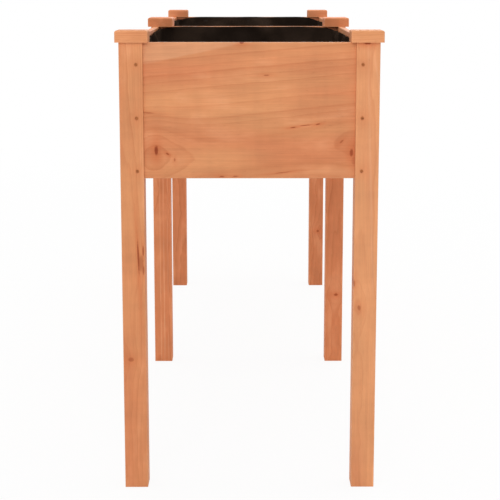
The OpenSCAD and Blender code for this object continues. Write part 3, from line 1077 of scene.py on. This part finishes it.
@dataclass(frozen=True)
class BlackFleece:
    """Black non-woven sheet, pressed together at small dots.

    Args:
        colour: The sheet's colour.
        lint_and_sheen: Its colour where fibres stand up: partly their own paler fluff, partly a painted
            sheen where they would catch the light.
        specular: How strongly its surface reflects.
        roughness: How matt it is between the dots.
        dot_pitch: Distance between the pressed dots, in metres.
        dot_edge: The height of the crossed waves where a dot starts and where it is fully pressed.
        dot_shine: How much smoother a dot is.
        dot_depth: How deep a dot is, as a share of the relief.
        fibres: How often the fibres' noise repeats per metre.
        fibre_height: How high the fibres stand, as a share of the relief.
        fibre_lint_and_sheen: The strength of the fibres' noise where that paler colour starts to show and
            is full.
        clouds: How often the clouds of that paler colour repeat per metre. They are partly dust and partly
            painted light and shade standing in for the folds' shading.
        cloud_edge: The strength of their noise where a cloud starts and is full.
        least_lint_and_sheen: How much of the paler colour stays between the clouds.
        relief: Height of the relief, in metres.
    """

    colour: Colour = screen_colour(31, 24, 20)
    lint_and_sheen: Colour = screen_colour(84, 67, 55)
    specular: float = 0.0
    roughness: float = 0.86
    dot_pitch: float = 0.0022
    dot_edge: tuple[float, float] = (0.35, 0.75)
    dot_shine: float = 0.22
    dot_depth: float = 0.7
    fibres: float = 900.0
    fibre_height: float = 0.6
    fibre_lint_and_sheen: tuple[float, float] = (0.4, 0.7)
    clouds: float = 10.0
    cloud_edge: tuple[float, float] = (0.38, 0.62)
    least_lint_and_sheen: float = 0.25
    relief: float = 0.0002

    def material(self) -> bpy.types.Material:
        """Builds the material on the piece's own UV map, which is in metres.

        The dots are the peaks of two crossed sine waves. Fibres are noise, and they raise both the colour
        and the relief. The raised colour, in clouds, is partly painted sheen and painted fold shading.

        Returns:
            The material.
        """
        material, nodes = start_material("black_fleece")
        flat = nodes.add("ShaderNodeUVMap", uv_map="Sheet").outputs[0]
        u, v, _ = nodes.split(nodes.scaled(flat, 2 * math.pi / self.dot_pitch))
        peaks = nodes.math("MULTIPLY", nodes.math("SINE", u), nodes.math("SINE", v))
        dots = nodes.ease(peaks, *self.dot_edge)
        fibres = nodes.noise(nodes.scaled(flat, self.fibres), 1.0, 3.0, 0.7)
        cloud = nodes.noise(nodes.scaled(flat, self.clouds), 1.0, 4.0)
        # Paler colour where fibres stand up, in clouds: partly fluff and dust, partly painted sheen and
        # painted fold shading.
        lint_and_sheen_mask = nodes.math("MULTIPLY", nodes.ease(fibres, *self.fibre_lint_and_sheen),
                          nodes.ease(cloud, *self.cloud_edge, self.least_lint_and_sheen))
        height = nodes.math("MULTIPLY_ADD", dots, -self.dot_depth,
                            nodes.math("MULTIPLY", fibres, self.fibre_height))
        bump = nodes.add("ShaderNodeBump", {"Height": height, "Distance": self.relief}).outputs[0]
        shader = nodes.add("ShaderNodeBsdfPrincipled", {
            "Base Color": nodes.blend(lint_and_sheen_mask, self.colour, self.lint_and_sheen), "Normal": bump,
            "Roughness": nodes.math("MULTIPLY_ADD", dots, -self.dot_shine, self.roughness),
            "Specular IOR Level": self.specular})
        nodes.add("ShaderNodeOutputMaterial", {"Surface": shader.outputs[0]})
        return material


def show(name: str, data: bpy.types.ID) -> bpy.types.Object:
    """Makes an object and adds it to the scene.

    Args:
        name: Its name.
        data: Its mesh, light or camera.

    Returns:
        The object, at the origin.
    """
    thing = bpy.data.objects.new(name, data)
    bpy.context.scene.collection.objects.link(thing)
    return thing


def spaced(start: float, end: float, step: float) -> np.ndarray:
    """Even points from start up to but without end, about a step apart."""
    return np.linspace(start, end, max(1, round(abs(end - start) / step)), endpoint=False)


def read_points(mesh: bpy.types.Mesh) -> np.ndarray:
    """Reads the points of a mesh.

    Args:
        mesh: The mesh.

    Returns:
        Its points, one to a row.
    """
    points = np.empty(3 * len(mesh.vertices), dtype=np.float32)
    mesh.vertices.foreach_get("co", points)
    return points.reshape(-1, 3).astype(float)


def write_points(mesh: bpy.types.Mesh, points: np.ndarray) -> None:
    """Moves all the points of a mesh to where they are wanted."""
    mesh.vertices.foreach_set("co", points.astype(np.float32).ravel())
    mesh.update()


def middles(points: np.ndarray, cell: float = 0.03) -> np.ndarray:
    """Middles of small loose pieces: the means of their points that share a cell of a coarse grid.

    Args:
        points: The pieces' points, one to a row.
        cell: Size of a cell, which is larger than a piece and smaller than the room between two.

    Returns:
        The middles, one to a row.
    """
    cells = np.unique(np.round(points / cell), axis=0, return_inverse=True)[1].ravel()
    count = np.bincount(cells)
    return np.stack([np.bincount(cells, weights=points[:, axis]) / count for axis in range(3)], axis=-1)


def blocks(boxes: list[tuple[Point, Point]], name: str) -> bpy.types.Object:
    """Makes one object out of upright boxes, with their faces outwards.

    Args:
        boxes: The lowest and the highest corner of each box.
        name: The object's name.

    Returns:
        The object.
    """
    ends = np.array(boxes)
    pick = np.array([[i, j, k] for i in (0, 1) for j in (0, 1) for k in (0, 1)])
    points = np.stack([ends[:, pick[:, axis], axis] for axis in range(3)], axis=-1)
    sides = np.array([[0, 1, 3, 2], [4, 6, 7, 5], [0, 4, 5, 1], [2, 3, 7, 6], [0, 2, 6, 4], [1, 5, 7, 3]])
    faces = sides[None] + 8 * np.arange(len(boxes))[:, None, None]
    mesh = bpy.data.meshes.new(name)
    mesh.from_pydata(points.reshape(-1, 3).tolist(), [], faces.reshape(-1, 4).tolist())
    return show(name, mesh)


def cut_edges(mesh: bpy.types.Mesh) -> tuple[np.ndarray, np.ndarray]:
    """Finds the edges where a sheet was cut, which have one face only.

    Args:
        mesh: The sheet.

    Returns:
        The pair of points that each edge joins, and the mask of the cut ones.
    """
    edges = np.empty(2 * len(mesh.edges), dtype=np.int32)
    mesh.edges.foreach_get("vertices", edges)
    used = np.empty(len(mesh.loops), dtype=np.int32)
    mesh.loops.foreach_get("edge_index", used)
    return edges.reshape(-1, 2), np.bincount(used, minlength=len(mesh.edges)) == 1


def on_cut_edge(mesh: bpy.types.Mesh) -> np.ndarray:
    """Finds the points on a sheet's cut edge.

    Args:
        mesh: The sheet.

    Returns:
        Their mask.
    """
    edges, cut = cut_edges(mesh)
    mask = np.zeros(len(mesh.vertices), dtype=bool)
    mask[edges[cut].ravel()] = True
    return mask


def weld(mesh: bpy.types.Mesh) -> None:
    """Joins a mesh's points that lie in one place, drops the loose ones and turns its faces one way.

    Args:
        mesh: The mesh.
    """
    shape = bmesh.new()
    shape.from_mesh(mesh)
    bmesh.ops.remove_doubles(shape, verts=shape.verts, dist=1e-5)
    loose = [vert for vert in shape.verts if not vert.link_faces]
    bmesh.ops.delete(shape, geom=loose, context="VERTS")
    bmesh.ops.recalc_face_normals(shape, faces=shape.faces)
    shape.to_mesh(mesh)
    shape.free()


def relaxed(mesh: bpy.types.Mesh, points: np.ndarray, rounds: int, only_rim: bool = False) -> np.ndarray:
    """Evens a sheet out: each point moves half way to the mean of its neighbours, a few times over.

    A point on the cut edge only looks at its neighbours on that edge.

    Args:
        mesh: The sheet, for which points are neighbours.
        points: Where its points are.
        rounds: How many times they move.
        only_rim: Whether only the points on the cut edge move.

    Returns:
        The moved points.
    """
    edges, cut = cut_edges(mesh)
    rim = on_cut_edge(mesh)
    to = np.concatenate([edges[:, 0], edges[:, 1]])
    by = np.concatenate([edges[:, 1], edges[:, 0]])
    keep = np.concatenate([cut, cut]) | (~rim[to] & (not only_rim))
    to, by = to[keep], by[keep]
    count = np.bincount(to, minlength=len(points))[:, None]
    for _ in range(rounds):
        sums = [np.bincount(to, weights=points[by, axis], minlength=len(points)) for axis in range(3)]
        mean = np.stack(sums, axis=-1) / np.maximum(count, 1)
        points = np.where(count > 0, (points + mean) / 2, points)
    return points


@dataclass(frozen=True)
class Bed:
    """The room that a liner has in the rear bed. The front bed mirrors it.

    Args:
        side: Half the room's width between the side boards.
        leg_side: The same between the legs.
        near: Where the divider's face is along the planter.
        leg_near: Where the middle legs end.
        leg_far: Where the end legs begin.
        far: Where the end board's face is.
        floor: Height of the slats' top.
        rim: Height of the liner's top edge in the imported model.
        gap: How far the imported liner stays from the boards.
    """

    side: float
    leg_side: float
    near: float
    leg_near: float
    leg_far: float
    far: float
    floor: float
    rim: float
    gap: float

    @classmethod
    def measured(cls) -> "Bed":
        """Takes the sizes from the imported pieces.

        Returns:
            The rear bed's room.
        """
        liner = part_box("liner_rear")
        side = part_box("side_board_rear_right")[0].x
        middle_leg, end_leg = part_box("leg_middle_right"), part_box("leg_rear_right")
        return cls(side, middle_leg[0].x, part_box("divider_board")[1].y, middle_leg[1].y, end_leg[0].y,
                   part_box("end_board_rear")[0].y, liner[0].z, liner[1].z, side - liner[1].x)

    def walls(self, slip: float) -> bpy.types.Object:
        """Makes the solid walls and floor that the cloth settles against.

        Args:
            slip: How far outside the true faces they lie, which makes up for the cloth's stand-off.

        Returns:
            The object, which is taken away after the cloth has settled.
        """
        out, above = 0.12, 0.02
        low, high = self.floor - out, self.rim + above
        side, leg, near, far = self.side + slip, self.leg_side + slip, self.near - slip, self.far + slip
        leg_near, leg_far = self.leg_near - slip, self.leg_far + slip
        boxes = [((-side, near, low), (side, far, self.floor - slip)),
                 ((-side, near - out, low), (side, near, high)),
                 ((-side, far, low), (side, far + out, high))]
        for a, b in ((-side - out, -side), (side, side + out)):
            boxes.append(((a, near - out, low), (b, far + out, high)))
        for a, b in ((-side - out, -leg), (leg, side + out)):
            boxes.append(((a, near - out, low), (b, leg_near, high)))
            boxes.append(((a, leg_far, low), (b, far + out, high)))
        return blocks(boxes, "bed_walls")

    def inside(self, points: np.ndarray, gap: float) -> np.ndarray:
        """Moves points that are too close to a board, a leg or the floor just off it.

        Args:
            points: The points, in the rear bed's place.
            gap: The least distance from each face.

        Returns:
            The moved points.
        """
        x, y, z = points.T.copy()
        x = np.clip(x, gap - self.side, self.side - gap)
        y = np.clip(y, self.near + gap, self.far - gap)
        over = np.abs(x) - (self.leg_side - gap)
        into = np.maximum(self.leg_near + gap - y, y - (self.leg_far - gap))
        caught = (over > 0) & (into > 0)
        sideways = caught & (over <= into)
        x = np.where(sideways, np.sign(x) * (self.leg_side - gap), x)
        back = np.where(y < (self.near + self.far) / 2, self.leg_near + gap, self.leg_far - gap)
        y = np.where(caught & ~sideways, back, y)
        return np.stack([x, y, np.maximum(z, self.floor + gap)], axis=-1)


@dataclass(frozen=True)
class ClothFeel:
    """How the sheet moves while it settles, in the measures of Blender's cloth.

    Args:
        mass: The mass that each of its points carries.
        air: How much the air slows it.
        stretch: How firmly it keeps its length.
        shear: How firmly it keeps its corners square.
        bend: How firmly it keeps flat.
        quality: How many steps each frame takes.
        wall_quality: How many times it is kept out of the walls in a step.
        stand_off: How far it keeps from the walls by its own measure.
        wall_off: The same by theirs.
        wall_slip: How far outside the true faces the walls lie, which makes up for that.
        friction: How much the walls keep it from sliding.
    """

    mass: float = 0.02
    air: float = 2.0
    stretch: float = 14.0
    shear: float = 6.0
    bend: float = 3.0
    quality: int = 7
    wall_quality: int = 3
    stand_off: float = 0.001
    wall_off: float = 0.001
    wall_slip: float = 0.0012
    friction: float = 8.0

    def harden(self, walls: bpy.types.Object) -> None:
        """Makes the walls keep the sheet in.

        Args:
            walls: The walls.
        """
        walls.modifiers.new("wall", "COLLISION")
        walls.collision.thickness_outer = self.wall_off
        walls.collision.cloth_friction = self.friction

    def loosen(self, sheet: bpy.types.Object) -> bpy.types.Modifier:
        """Makes a sheet move as cloth.

        Args:
            sheet: The sheet.

        Returns:
            Its cloth modifier.
        """
        cloth = sheet.modifiers.new("cloth", "CLOTH")
        feel = cloth.settings
        feel.quality = self.quality
        feel.mass = self.mass
        feel.air_damping = self.air
        feel.tension_stiffness = feel.compression_stiffness = self.stretch
        feel.shear_stiffness = self.shear
        feel.bending_stiffness = self.bend
        cloth.collision_settings.distance_min = self.stand_off
        cloth.collision_settings.collision_quality = self.wall_quality
        return cloth


@dataclass
class Liner:
    """The cloth bag in one bed.

    It is drawn and settled in the rear bed's place, and mirrored for the front one.

    Args:
        row: front or rear.
        bed: The room it has.
        material: Its finish.
        seed: Picks its own creases.
        left_drop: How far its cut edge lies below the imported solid's at the left side board.
        right_drop: The same at the right one.
        step: Distance between its mesh lines.
        cloth: Thickness of the sheet.
        near_rise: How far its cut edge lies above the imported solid's at the divider.
        far_rise: The same at the end board.
        leg_rise: The same at the legs, under the caps.
        caps_at: How far from the planter's middle the caps begin.
        caps_ease: Over what length it eases down to the caps.
        left_lift: How much less it drops where it bulges at the left side board.
        lift_at: How far from the divider that bulge is.
        lift_reach: How far the bulge reaches each way.
        leg_dip: How much further it drops beside a leg, as a share of its drop there.
        leg_reach: How far from the leg that dip reaches.
        wave: How far it goes up and down along the side boards.
        leg_gap: How far it is drawn from the legs before it settles.
        fold: How far the broad folds of its walls stand out before it settles.
        fold_from_staple: How far from a staple they begin.
        fold_from_floor: Over what height above the floor they come up.
        crease: How uneven the sheet is before it settles.
        first_rounds: How many times it is evened out before it settles.
        last_rounds: The same afterwards.
        rim_rounds: How many times its cut edge alone is evened out afterwards.
        slack: How much larger the cloth is than its room, as a share.
        rim_slack: The same along its stapled edge.
        rim_bands: How much of the edge's slack a height takes on, from 0 to 1, and how far below the
            edge that height goes.
        rim_hold: How firmly the cut edge keeps its place while it settles, from 0 to 1.
        staple_reach: How far a staple holds the cloth round its middle.
        frames: How many frames of film it settles for.
        feel: How the cloth moves meanwhile.
    """

    row: str
    bed: Bed
    material: bpy.types.Material
    seed: int
    left_drop: float
    right_drop: float
    step: float = 0.0085
    cloth: float = 0.0007
    near_rise: float = 0.0028
    far_rise: float = 0.0034
    leg_rise: float = 0.0022
    caps_at: float = 0.167
    caps_ease: float = 0.006
    left_lift: float = 0.0
    lift_at: float = 0.13
    lift_reach: float = 0.1
    leg_dip: float = 0.5
    leg_reach: float = 0.06
    wave: float = 0.0009
    leg_gap: float = 0.006
    fold: float = 0.016
    fold_from_staple: float = 0.022
    fold_from_floor: float = 0.03
    crease: float = 0.012
    first_rounds: int = 7
    last_rounds: int = 2
    rim_rounds: int = 4
    slack: float = 0.03
    rim_slack: float = 0.008
    rim_bands: tuple[tuple[float, float], ...] = ((0.3, 0.05), (0.6, 0.03), (1.0, 0.012))
    rim_hold: float = 0.3
    staple_reach: float = 0.0075
    frames: int = 36
    feel: ClothFeel = ClothFeel()

    def outline(self) -> np.ndarray:
        """Works out the bag's outline seen from above, round the legs.

        Returns:
            Its corners, one to a row.
        """
        bed, off = self.bed, self.bed.gap + self.cloth / 2
        side, leg = bed.side - off, bed.leg_side - off - self.leg_gap
        near, far = bed.near + off, bed.far - off
        leg_near, leg_far = bed.leg_near + off + self.leg_gap, bed.leg_far - off - self.leg_gap
        right = [[leg, near], [leg, leg_near], [side, leg_near],
                 [side, leg_far], [leg, leg_far], [leg, far]]
        left = [[-x, y] for x, y in reversed(right)]
        return np.array(left[-1:] + right + left[:-1])

    def rim_height(self, x: np.ndarray, y: np.ndarray) -> np.ndarray:
        """Height of the cut edge, which is highest at the ends and lower and wavy at the side boards.

        It eases down to the caps just before it passes under them. Two sine waves of unlike length, in
        radians per metre, make the wave, and bells make the dip beside each leg and the bulge.

        Args:
            x: Places across the planter.
            y: Places along it.

        Returns:
            The heights.
        """
        bed = self.bed
        long_wave, short_wave = 11.0, 27.0
        share = np.clip((np.abs(x) - bed.leg_side) / (bed.side - bed.leg_side), 0.0, 1.0)
        share = share * share * (3 - 2 * share)
        waves = np.sin(y * long_wave + self.seed)
        waves = waves + 0.5 * np.sin(y * short_wave + 2.0 * self.seed + np.sign(x))
        beside = np.minimum(np.abs(y - bed.leg_near), np.abs(y - bed.leg_far)) / self.leg_reach
        drop = np.where(x < 0, self.left_drop, self.right_drop) * (1 + self.leg_dip * np.exp(-beside ** 2))
        lift = self.left_lift * np.exp(-((y - bed.near - self.lift_at) / self.lift_reach) ** 2)
        drop = drop + self.wave * waves - np.where(x < 0, lift, 0.0)
        rise = np.where(y > (bed.near + bed.far) / 2, self.far_rise, self.near_rise)
        under = np.clip(1 + (np.abs(x) - self.caps_at) / self.caps_ease, 0.0, 1.0)
        rise = rise + (self.leg_rise - rise) * under
        return bed.rim + (1 - share) * rise - share * drop

    def floor_grid(self, corners: np.ndarray, low: float) -> tuple[np.ndarray, np.ndarray]:
        """The bag's floor, which is a grid less the legs' corners.

        Args:
            corners: The outline's corners.
            low: The floor's height.

        Returns:
            The grid's points, and the four points of each face.
        """
        xs, ys = (
            np.concatenate([spaced(a, b, self.step) for a, b in zip(stops[:-1], stops[1:])] + [stops[-1:]])
            for stops in (np.unique(corners[:, 0]), np.unique(corners[:, 1])))
        grid_x, grid_y = np.meshgrid(xs, ys, indexing="ij")
        points = np.stack([grid_x, grid_y, np.full_like(grid_x, low)], axis=-1).reshape(-1, 3)
        index = np.arange(len(points)).reshape(grid_x.shape)
        faces = np.stack([index[:-1, :-1], index[1:, :-1], index[1:, 1:], index[:-1, 1:]], axis=-1)
        mid_x = (xs[:-1] + xs[1:])[:, None] / 2
        mid_y = (ys[:-1] + ys[1:])[None, :] / 2
        leg, leg_near, leg_far = corners[1, 0], corners[2, 1], corners[4, 1]
        in_corner = (np.abs(mid_x) > leg) & ((mid_y < leg_near) | (mid_y > leg_far))
        return points, faces[~in_corner]

    def wall_grid(self, corners: np.ndarray, low: float) -> tuple[np.ndarray, np.ndarray, np.ndarray]:
        """The bag's walls, which are a grid round the outline up to the cut edge.

        Args:
            corners: The outline's corners.
            low: The floor's height.

        Returns:
            The grid's points, the four points of each face, and how far round and up each point is.
        """
        loop = []
        for a, b in zip(corners, np.roll(corners, -1, axis=0)):
            part = spaced(0.0, 1.0, self.step / np.linalg.norm(b - a))
            loop.append(a + part[:, None] * (b - a))
        loop = np.concatenate(loop)
        rows = np.append(spaced(0.0, 1.0, self.step / (self.bed.rim - low)), 1.0)
        rim = self.rim_height(loop[:, 0], loop[:, 1])
        heights = low + rows[None, :] * (rim[:, None] - low)
        columns = np.repeat(loop[:, None, :], len(rows), axis=1)
        points = np.concatenate([columns, heights[..., None]], axis=-1)
        ring = np.arange(heights.size).reshape(heights.shape)
        after = np.roll(ring, -1, axis=0)
        faces = np.stack([ring[:, :-1], ring[:, 1:], after[:, 1:], after[:, :-1]], axis=-1)
        run = np.concatenate([[0.0], np.cumsum(np.linalg.norm(np.diff(loop, axis=0), axis=-1))])
        flat = np.stack(np.broadcast_arrays(run[:, None], heights), axis=-1)
        return points.reshape(-1, 3), faces.reshape(-1, 4), flat.reshape(-1, 2)

    def bag(self) -> bpy.types.Object:
        """Builds the bag out of its floor and its walls.

        Returns:
            The bag, with a UV map in metres.
        """
        corners = self.outline()
        low = self.bed.floor + self.cloth
        floor, floor_faces = self.floor_grid(corners, low)
        wall, wall_faces, wall_flat = self.wall_grid(corners, low)
        faces = np.concatenate([floor_faces, wall_faces + len(floor)])
        mesh = bpy.data.meshes.new(f"liner_cloth_{self.row}")
        mesh.from_pydata(np.concatenate([floor, wall]).tolist(), [], faces.tolist())
        flat = np.concatenate([floor[:, :2], wall_flat])
        sheet = mesh.uv_layers.new(name="Sheet")
        sheet.data.foreach_set("uv", flat[faces.ravel()].astype(np.float32).ravel())
        bag = show(mesh.name, mesh)
        weld(mesh)
        return bag

    def staples(self) -> np.ndarray:
        """Finds the staples that hold this bag.

        Returns:
            Their middles in the rear bed's place, one to a row.
        """
        points = read_points(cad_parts["liner_staples"].data)
        points = points[points[:, 1] > 0] if self.row == "rear" else points[points[:, 1] < 0]
        points[:, 1] = np.abs(points[:, 1])
        return middles(points)

    def folds(self, mesh: bpy.types.Mesh, points: np.ndarray) -> np.ndarray:
        """Broad folds that slant down the walls.

        They are the sum of two sine waves round the bag, where it is above 0. A wave has its share, its
        radians per metre, how far round it slants per length down, and its start as a multiple of the
        seed. A bell round each staple and the height above the floor bring the folds to nothing.

        Args:
            mesh: The sheet, whose faces point outwards.
            points: Where its points are.

        Returns:
            How far each point moves into the bed.
        """
        out = np.empty(3 * len(points), dtype=np.float32)
        mesh.vertices.foreach_get("normal", out)
        out = out.reshape(-1, 3) * (1.0, 1.0, 0.0)
        broad, narrow = (1.0, 54.0, 0.7, 1.0), (0.7, 91.0, -0.5, 2.0)
        closer_lengthwise = 1.6
        round_bag = points[:, 0] + closer_lengthwise * points[:, 1]
        below = self.bed.rim - points[:, 2]
        waves = sum(share * np.sin(often * (round_bag + slant * below) + start * self.seed)
                    for share, often, slant, start in (broad, narrow))
        free = 1 - np.exp(-(self.from_staples(points) / self.fold_from_staple) ** 2)
        up = np.clip((points[:, 2] - self.bed.floor) / self.fold_from_floor, 0, 1)
        depth = self.fold * np.maximum(waves, 0.0) * free * up
        return -out * depth[:, None]

    def from_staples(self, points: np.ndarray) -> np.ndarray:
        """Distance of each point from the nearest staple."""
        return np.min(np.linalg.norm(points[:, None, :] - self.staples()[None], axis=-1), axis=1)

    def soften(self, mesh: bpy.types.Mesh) -> None:
        """Gives the sheet its folds and small creases, which are random bumps, and rounds its corners.

        Args:
            mesh: The sheet.
        """
        points = read_points(mesh)
        bumps = np.random.default_rng(self.seed).normal(0.0, self.crease, points.shape)
        bumps[on_cut_edge(mesh)] = 0.0
        points = points + self.folds(mesh, points) + bumps
        self.place(mesh, relaxed(mesh, points, self.first_rounds))

    def place(self, mesh: bpy.types.Mesh, points: np.ndarray) -> None:
        """Moves the bag's points, and keeps them off the boards and legs."""
        write_points(mesh, self.bed.inside(points, self.bed.gap + self.cloth / 2))

    def settle(self, bag: bpy.types.Object) -> None:
        """Lets the bag hang from its staples and fold under its own weight, and keeps its shape.

        Args:
            bag: The bag.
        """
        points = read_points(bag.data)
        pins = bag.vertex_groups.new(name="stapled")
        pins.add(np.flatnonzero(on_cut_edge(bag.data)).tolist(), self.rim_hold, "REPLACE")
        pins.add(np.flatnonzero(self.from_staples(points) < self.staple_reach).tolist(), 1.0, "REPLACE")
        rim = bag.vertex_groups.new(name="rim")
        below = self.bed.rim - points[:, 2]
        for weight, depth in self.rim_bands:
            rim.add(np.flatnonzero(below < depth).tolist(), weight, "REPLACE")
        walls = self.bed.walls(self.feel.wall_slip)
        self.feel.harden(walls)
        cloth = self.feel.loosen(bag)
        cloth.settings.vertex_group_mass = pins.name
        cloth.settings.vertex_group_shrink = rim.name
        cloth.settings.shrink_min = -self.slack
        cloth.settings.shrink_max = -self.rim_slack
        cloth.point_cache.frame_start = 1
        cloth.point_cache.frame_end = self.frames
        scene = bpy.context.scene
        for tick in range(1, self.frames + 1):
            scene.frame_set(tick)
        hung = bag.evaluated_get(bpy.context.evaluated_depsgraph_get())
        settled = bpy.data.meshes.new_from_object(hung)
        bag.modifiers.clear()
        points = read_points(settled)
        bpy.data.meshes.remove(settled)
        scene.frame_set(1)
        points = relaxed(bag.data, points, self.rim_rounds, only_rim=True)
        self.place(bag.data, relaxed(bag.data, points, self.last_rounds))
        bag.vertex_groups.clear()
        bpy.data.meshes.remove(walls.data)

    def build(self) -> bpy.types.Object:
        """Builds, settles and dresses the bag, and puts it in its bed.

        Returns:
            The bag.
        """
        bag = self.bag()
        self.soften(bag.data)
        self.settle(bag)
        if self.row == "front":
            bag.data.transform(Matrix.Scale(-1, 4, (0, 1, 0)))
            bag.data.flip_normals()
        bag.data.polygons.foreach_set("use_smooth", [True] * len(bag.data.polygons))
        finer = bag.modifiers.new("finer", "SUBSURF")
        finer.levels = finer.render_levels = 1
        sheet = bag.modifiers.new("sheet", "SOLIDIFY")
        sheet.thickness = self.cloth
        sheet.offset = 0.0
        put_on(bag, self.material)
        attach(bag, "root")
        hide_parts(f"liner_{self.row}")
        LOG.info("%s: %d faces", bag.name, len(bag.data.polygons))
        return bag


@dataclass(frozen=True)
class SoftLamp:
    """A square lamp with a soft front.

    Args:
        name: Its name.
        at: Where it hangs.
        aim: The point it faces.
        size: Its width and height.
        watts: Its power.
    """

    name: str
    at: Point
    aim: Point
    size: tuple[float, float]
    watts: float

    def hang(self) -> None:
        """Adds the lamp to the scene."""
        light = bpy.data.lights.new(self.name, "AREA")
        light.shape = "RECTANGLE"
        light.size, light.size_y = self.size
        light.energy = self.watts
        lamp = show(self.name, light)
        lamp.location = self.at
        lamp.rotation_euler = (Vector(self.aim) - Vector(self.at)).to_track_quat("-Z", "Y").to_euler()


@dataclass
class Studio:
    """A white floor, soft lamps, a white world and the photograph's camera.

    Args:
        camera_at: Where the camera stands.
        camera_down: How far it looks down, in degrees.
        camera_right: How far it looks to the right, in degrees.
        lens_mm: Its focal length for a 36 mm frame.
        camera_shift: How far the picture is shifted down the lens, as a share of its width.
        ambient: Strength of the world's light on the object.
        floor_radius: How far the floor reaches.
        floor_drop: How far it lies below the planter's feet.
        floor_tones: Its darkest and its lightest tone, between which noise goes.
        shadow_share: How much of the shadows on it shows near the planter.
        shadow_reach: Where they start to fade, and where they have faded.
        lamps: The lamps round the planter.
    """

    camera_at: Point = (-0.0071, -2.9819, 0.8810)
    camera_down: float = 9.53
    camera_right: float = 0.207
    lens_mm: float = 93.9
    camera_shift: float = -0.10
    ambient: float = 0.62
    floor_radius: float = 14.0
    floor_drop: float = 0.0003
    floor_tones: tuple[float, float] = (0.86, 0.9)
    shadow_share: float = 0.08
    shadow_reach: tuple[float, float] = (1.6, 4.0)
    lamps: tuple[SoftLamp, ...] = (
        SoftLamp("front_softbox", (-0.45, -4.3, 2.3), (0.0, 0.0, 0.45), (2.6, 2.0), 59.0),
        SoftLamp("top_softbox", (0.3, 0.2, 3.4), (0.0, 0.1, 0.5), (2.4, 2.8), 24.0),
        SoftLamp("back_softbox", (0.8, 4.3, 2.3), (0.0, 0.0, 0.45), (2.6, 2.0), 40.0),
        SoftLamp("right_softbox", (3.4, 0.4, 2.0), (0.0, 0.0, 0.5), (2.8, 1.8), 24.0),
        SoftLamp("left_softbox", (-3.4, 0.4, 2.0), (0.0, 0.0, 0.5), (2.8, 1.8), 18.0),
    )

    def set_camera(self) -> None:
        """Adds the camera and makes it the scene's own."""
        data = bpy.data.cameras.new("camera")
        data.lens = self.lens_mm
        data.sensor_width = 36.0
        data.shift_y = self.camera_shift
        data.clip_start, data.clip_end = 0.05, 100.0
        camera = show("camera", data)
        camera.location = self.camera_at
        camera.rotation_euler = (math.radians(90 - self.camera_down), 0.0, math.radians(-self.camera_right))
        bpy.context.scene.camera = camera

    @staticmethod
    def in_sight(nodes: Nodes) -> Socket:
        """Finds the rays that show a surface: the camera's own, reflected ones and those through glass.

        Args:
            nodes: The material's or the world's nodes.

        Returns:
            Their mask.
        """
        path = nodes.add("ShaderNodeLightPath").outputs
        mirrored = nodes.math("MAXIMUM", path["Is Glossy Ray"], path["Is Transmission Ray"])
        return nodes.math("MAXIMUM", path["Is Camera Ray"], mirrored)

    def set_world(self) -> None:
        """Lights the scene evenly, and shows white to the camera, in reflections and through glass."""
        world = bpy.data.worlds.new("studio")
        bpy.context.scene.world = world
        world.use_nodes = True
        world.node_tree.nodes.clear()
        nodes = Nodes(world.node_tree)
        strength = nodes.ease(self.in_sight(nodes), 0.0, 1.0, self.ambient, 1.0)
        back = nodes.add("ShaderNodeBackground", {"Color": (1.0, 1.0, 1.0, 1.0), "Strength": strength})
        nodes.add("ShaderNodeOutputWorld", {"Surface": back.outputs[0]})

    def lay_floor(self) -> None:
        """Lays a round floor that keeps a faint shadow near the planter and fades to plain white.

        From below it isn't there for the camera, so that the planter's underside shows.
        """
        shape = bmesh.new()
        below = Matrix.Translation((0.0, 0.0, -self.floor_drop))
        bmesh.ops.create_circle(shape, cap_ends=True, segments=96, radius=self.floor_radius, matrix=below)
        mesh = bpy.data.meshes.new("floor")
        shape.to_mesh(mesh)
        shape.free()
        floor = show("floor", mesh)
        material, nodes = start_material("white_floor")
        place = nodes.add("ShaderNodeTexCoord").outputs["Object"]
        near = nodes.ease(nodes.length(place), *self.shadow_reach, self.shadow_share, 0.0)
        darkest, lightest = ((tone, tone, tone, 1.0) for tone in self.floor_tones)
        pale = nodes.blend(nodes.noise(place, 40.0, 3.0), darkest, lightest)
        matt = nodes.add("ShaderNodeBsdfDiffuse", {"Color": pale}).outputs[0]
        white = nodes.add("ShaderNodeEmission", {"Color": (1.0, 1.0, 1.0, 1.0), "Strength": 1.0}).outputs[0]
        seen = nodes.add("ShaderNodeMixShader", {0: near, 1: white, 2: matt}).outputs[0]
        solid = nodes.add("ShaderNodeMixShader", {0: self.in_sight(nodes), 1: matt, 2: seen}).outputs[0]
        clear = nodes.add("ShaderNodeBsdfTransparent").outputs[0]
        under = nodes.add("ShaderNodeNewGeometry").outputs["Backfacing"]
        both = nodes.add("ShaderNodeMixShader", {0: under, 1: solid, 2: clear}).outputs[0]
        nodes.add("ShaderNodeOutputMaterial", {"Surface": both})
        put_on(floor, material)

    def build(self) -> None:
        """Sets up the whole studio."""
        bpy.context.scene.view_settings.view_transform = "Standard"
        self.set_camera()
        self.set_world()
        self.lay_floor()
        for lamp in self.lamps:
            lamp.hang()


def main() -> None:
    """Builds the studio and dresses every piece."""
    logging.basicConfig(level=logging.INFO, format="%(name)s %(message)s")
    Studio().build()
    Woodwork(Timber(StainedFir())).dress()
    Fasteners().dress()
    fleece = BlackFleece().material()
    bed = Bed.measured()
    Liner("front", bed, fleece, seed=5, left_drop=0.003, right_drop=0.0042, left_lift=0.0045).build()
    Liner("rear", bed, fleece, seed=6, left_drop=0.0008, right_drop=0.0042).build()


if __name__ == "__main__":
    main()
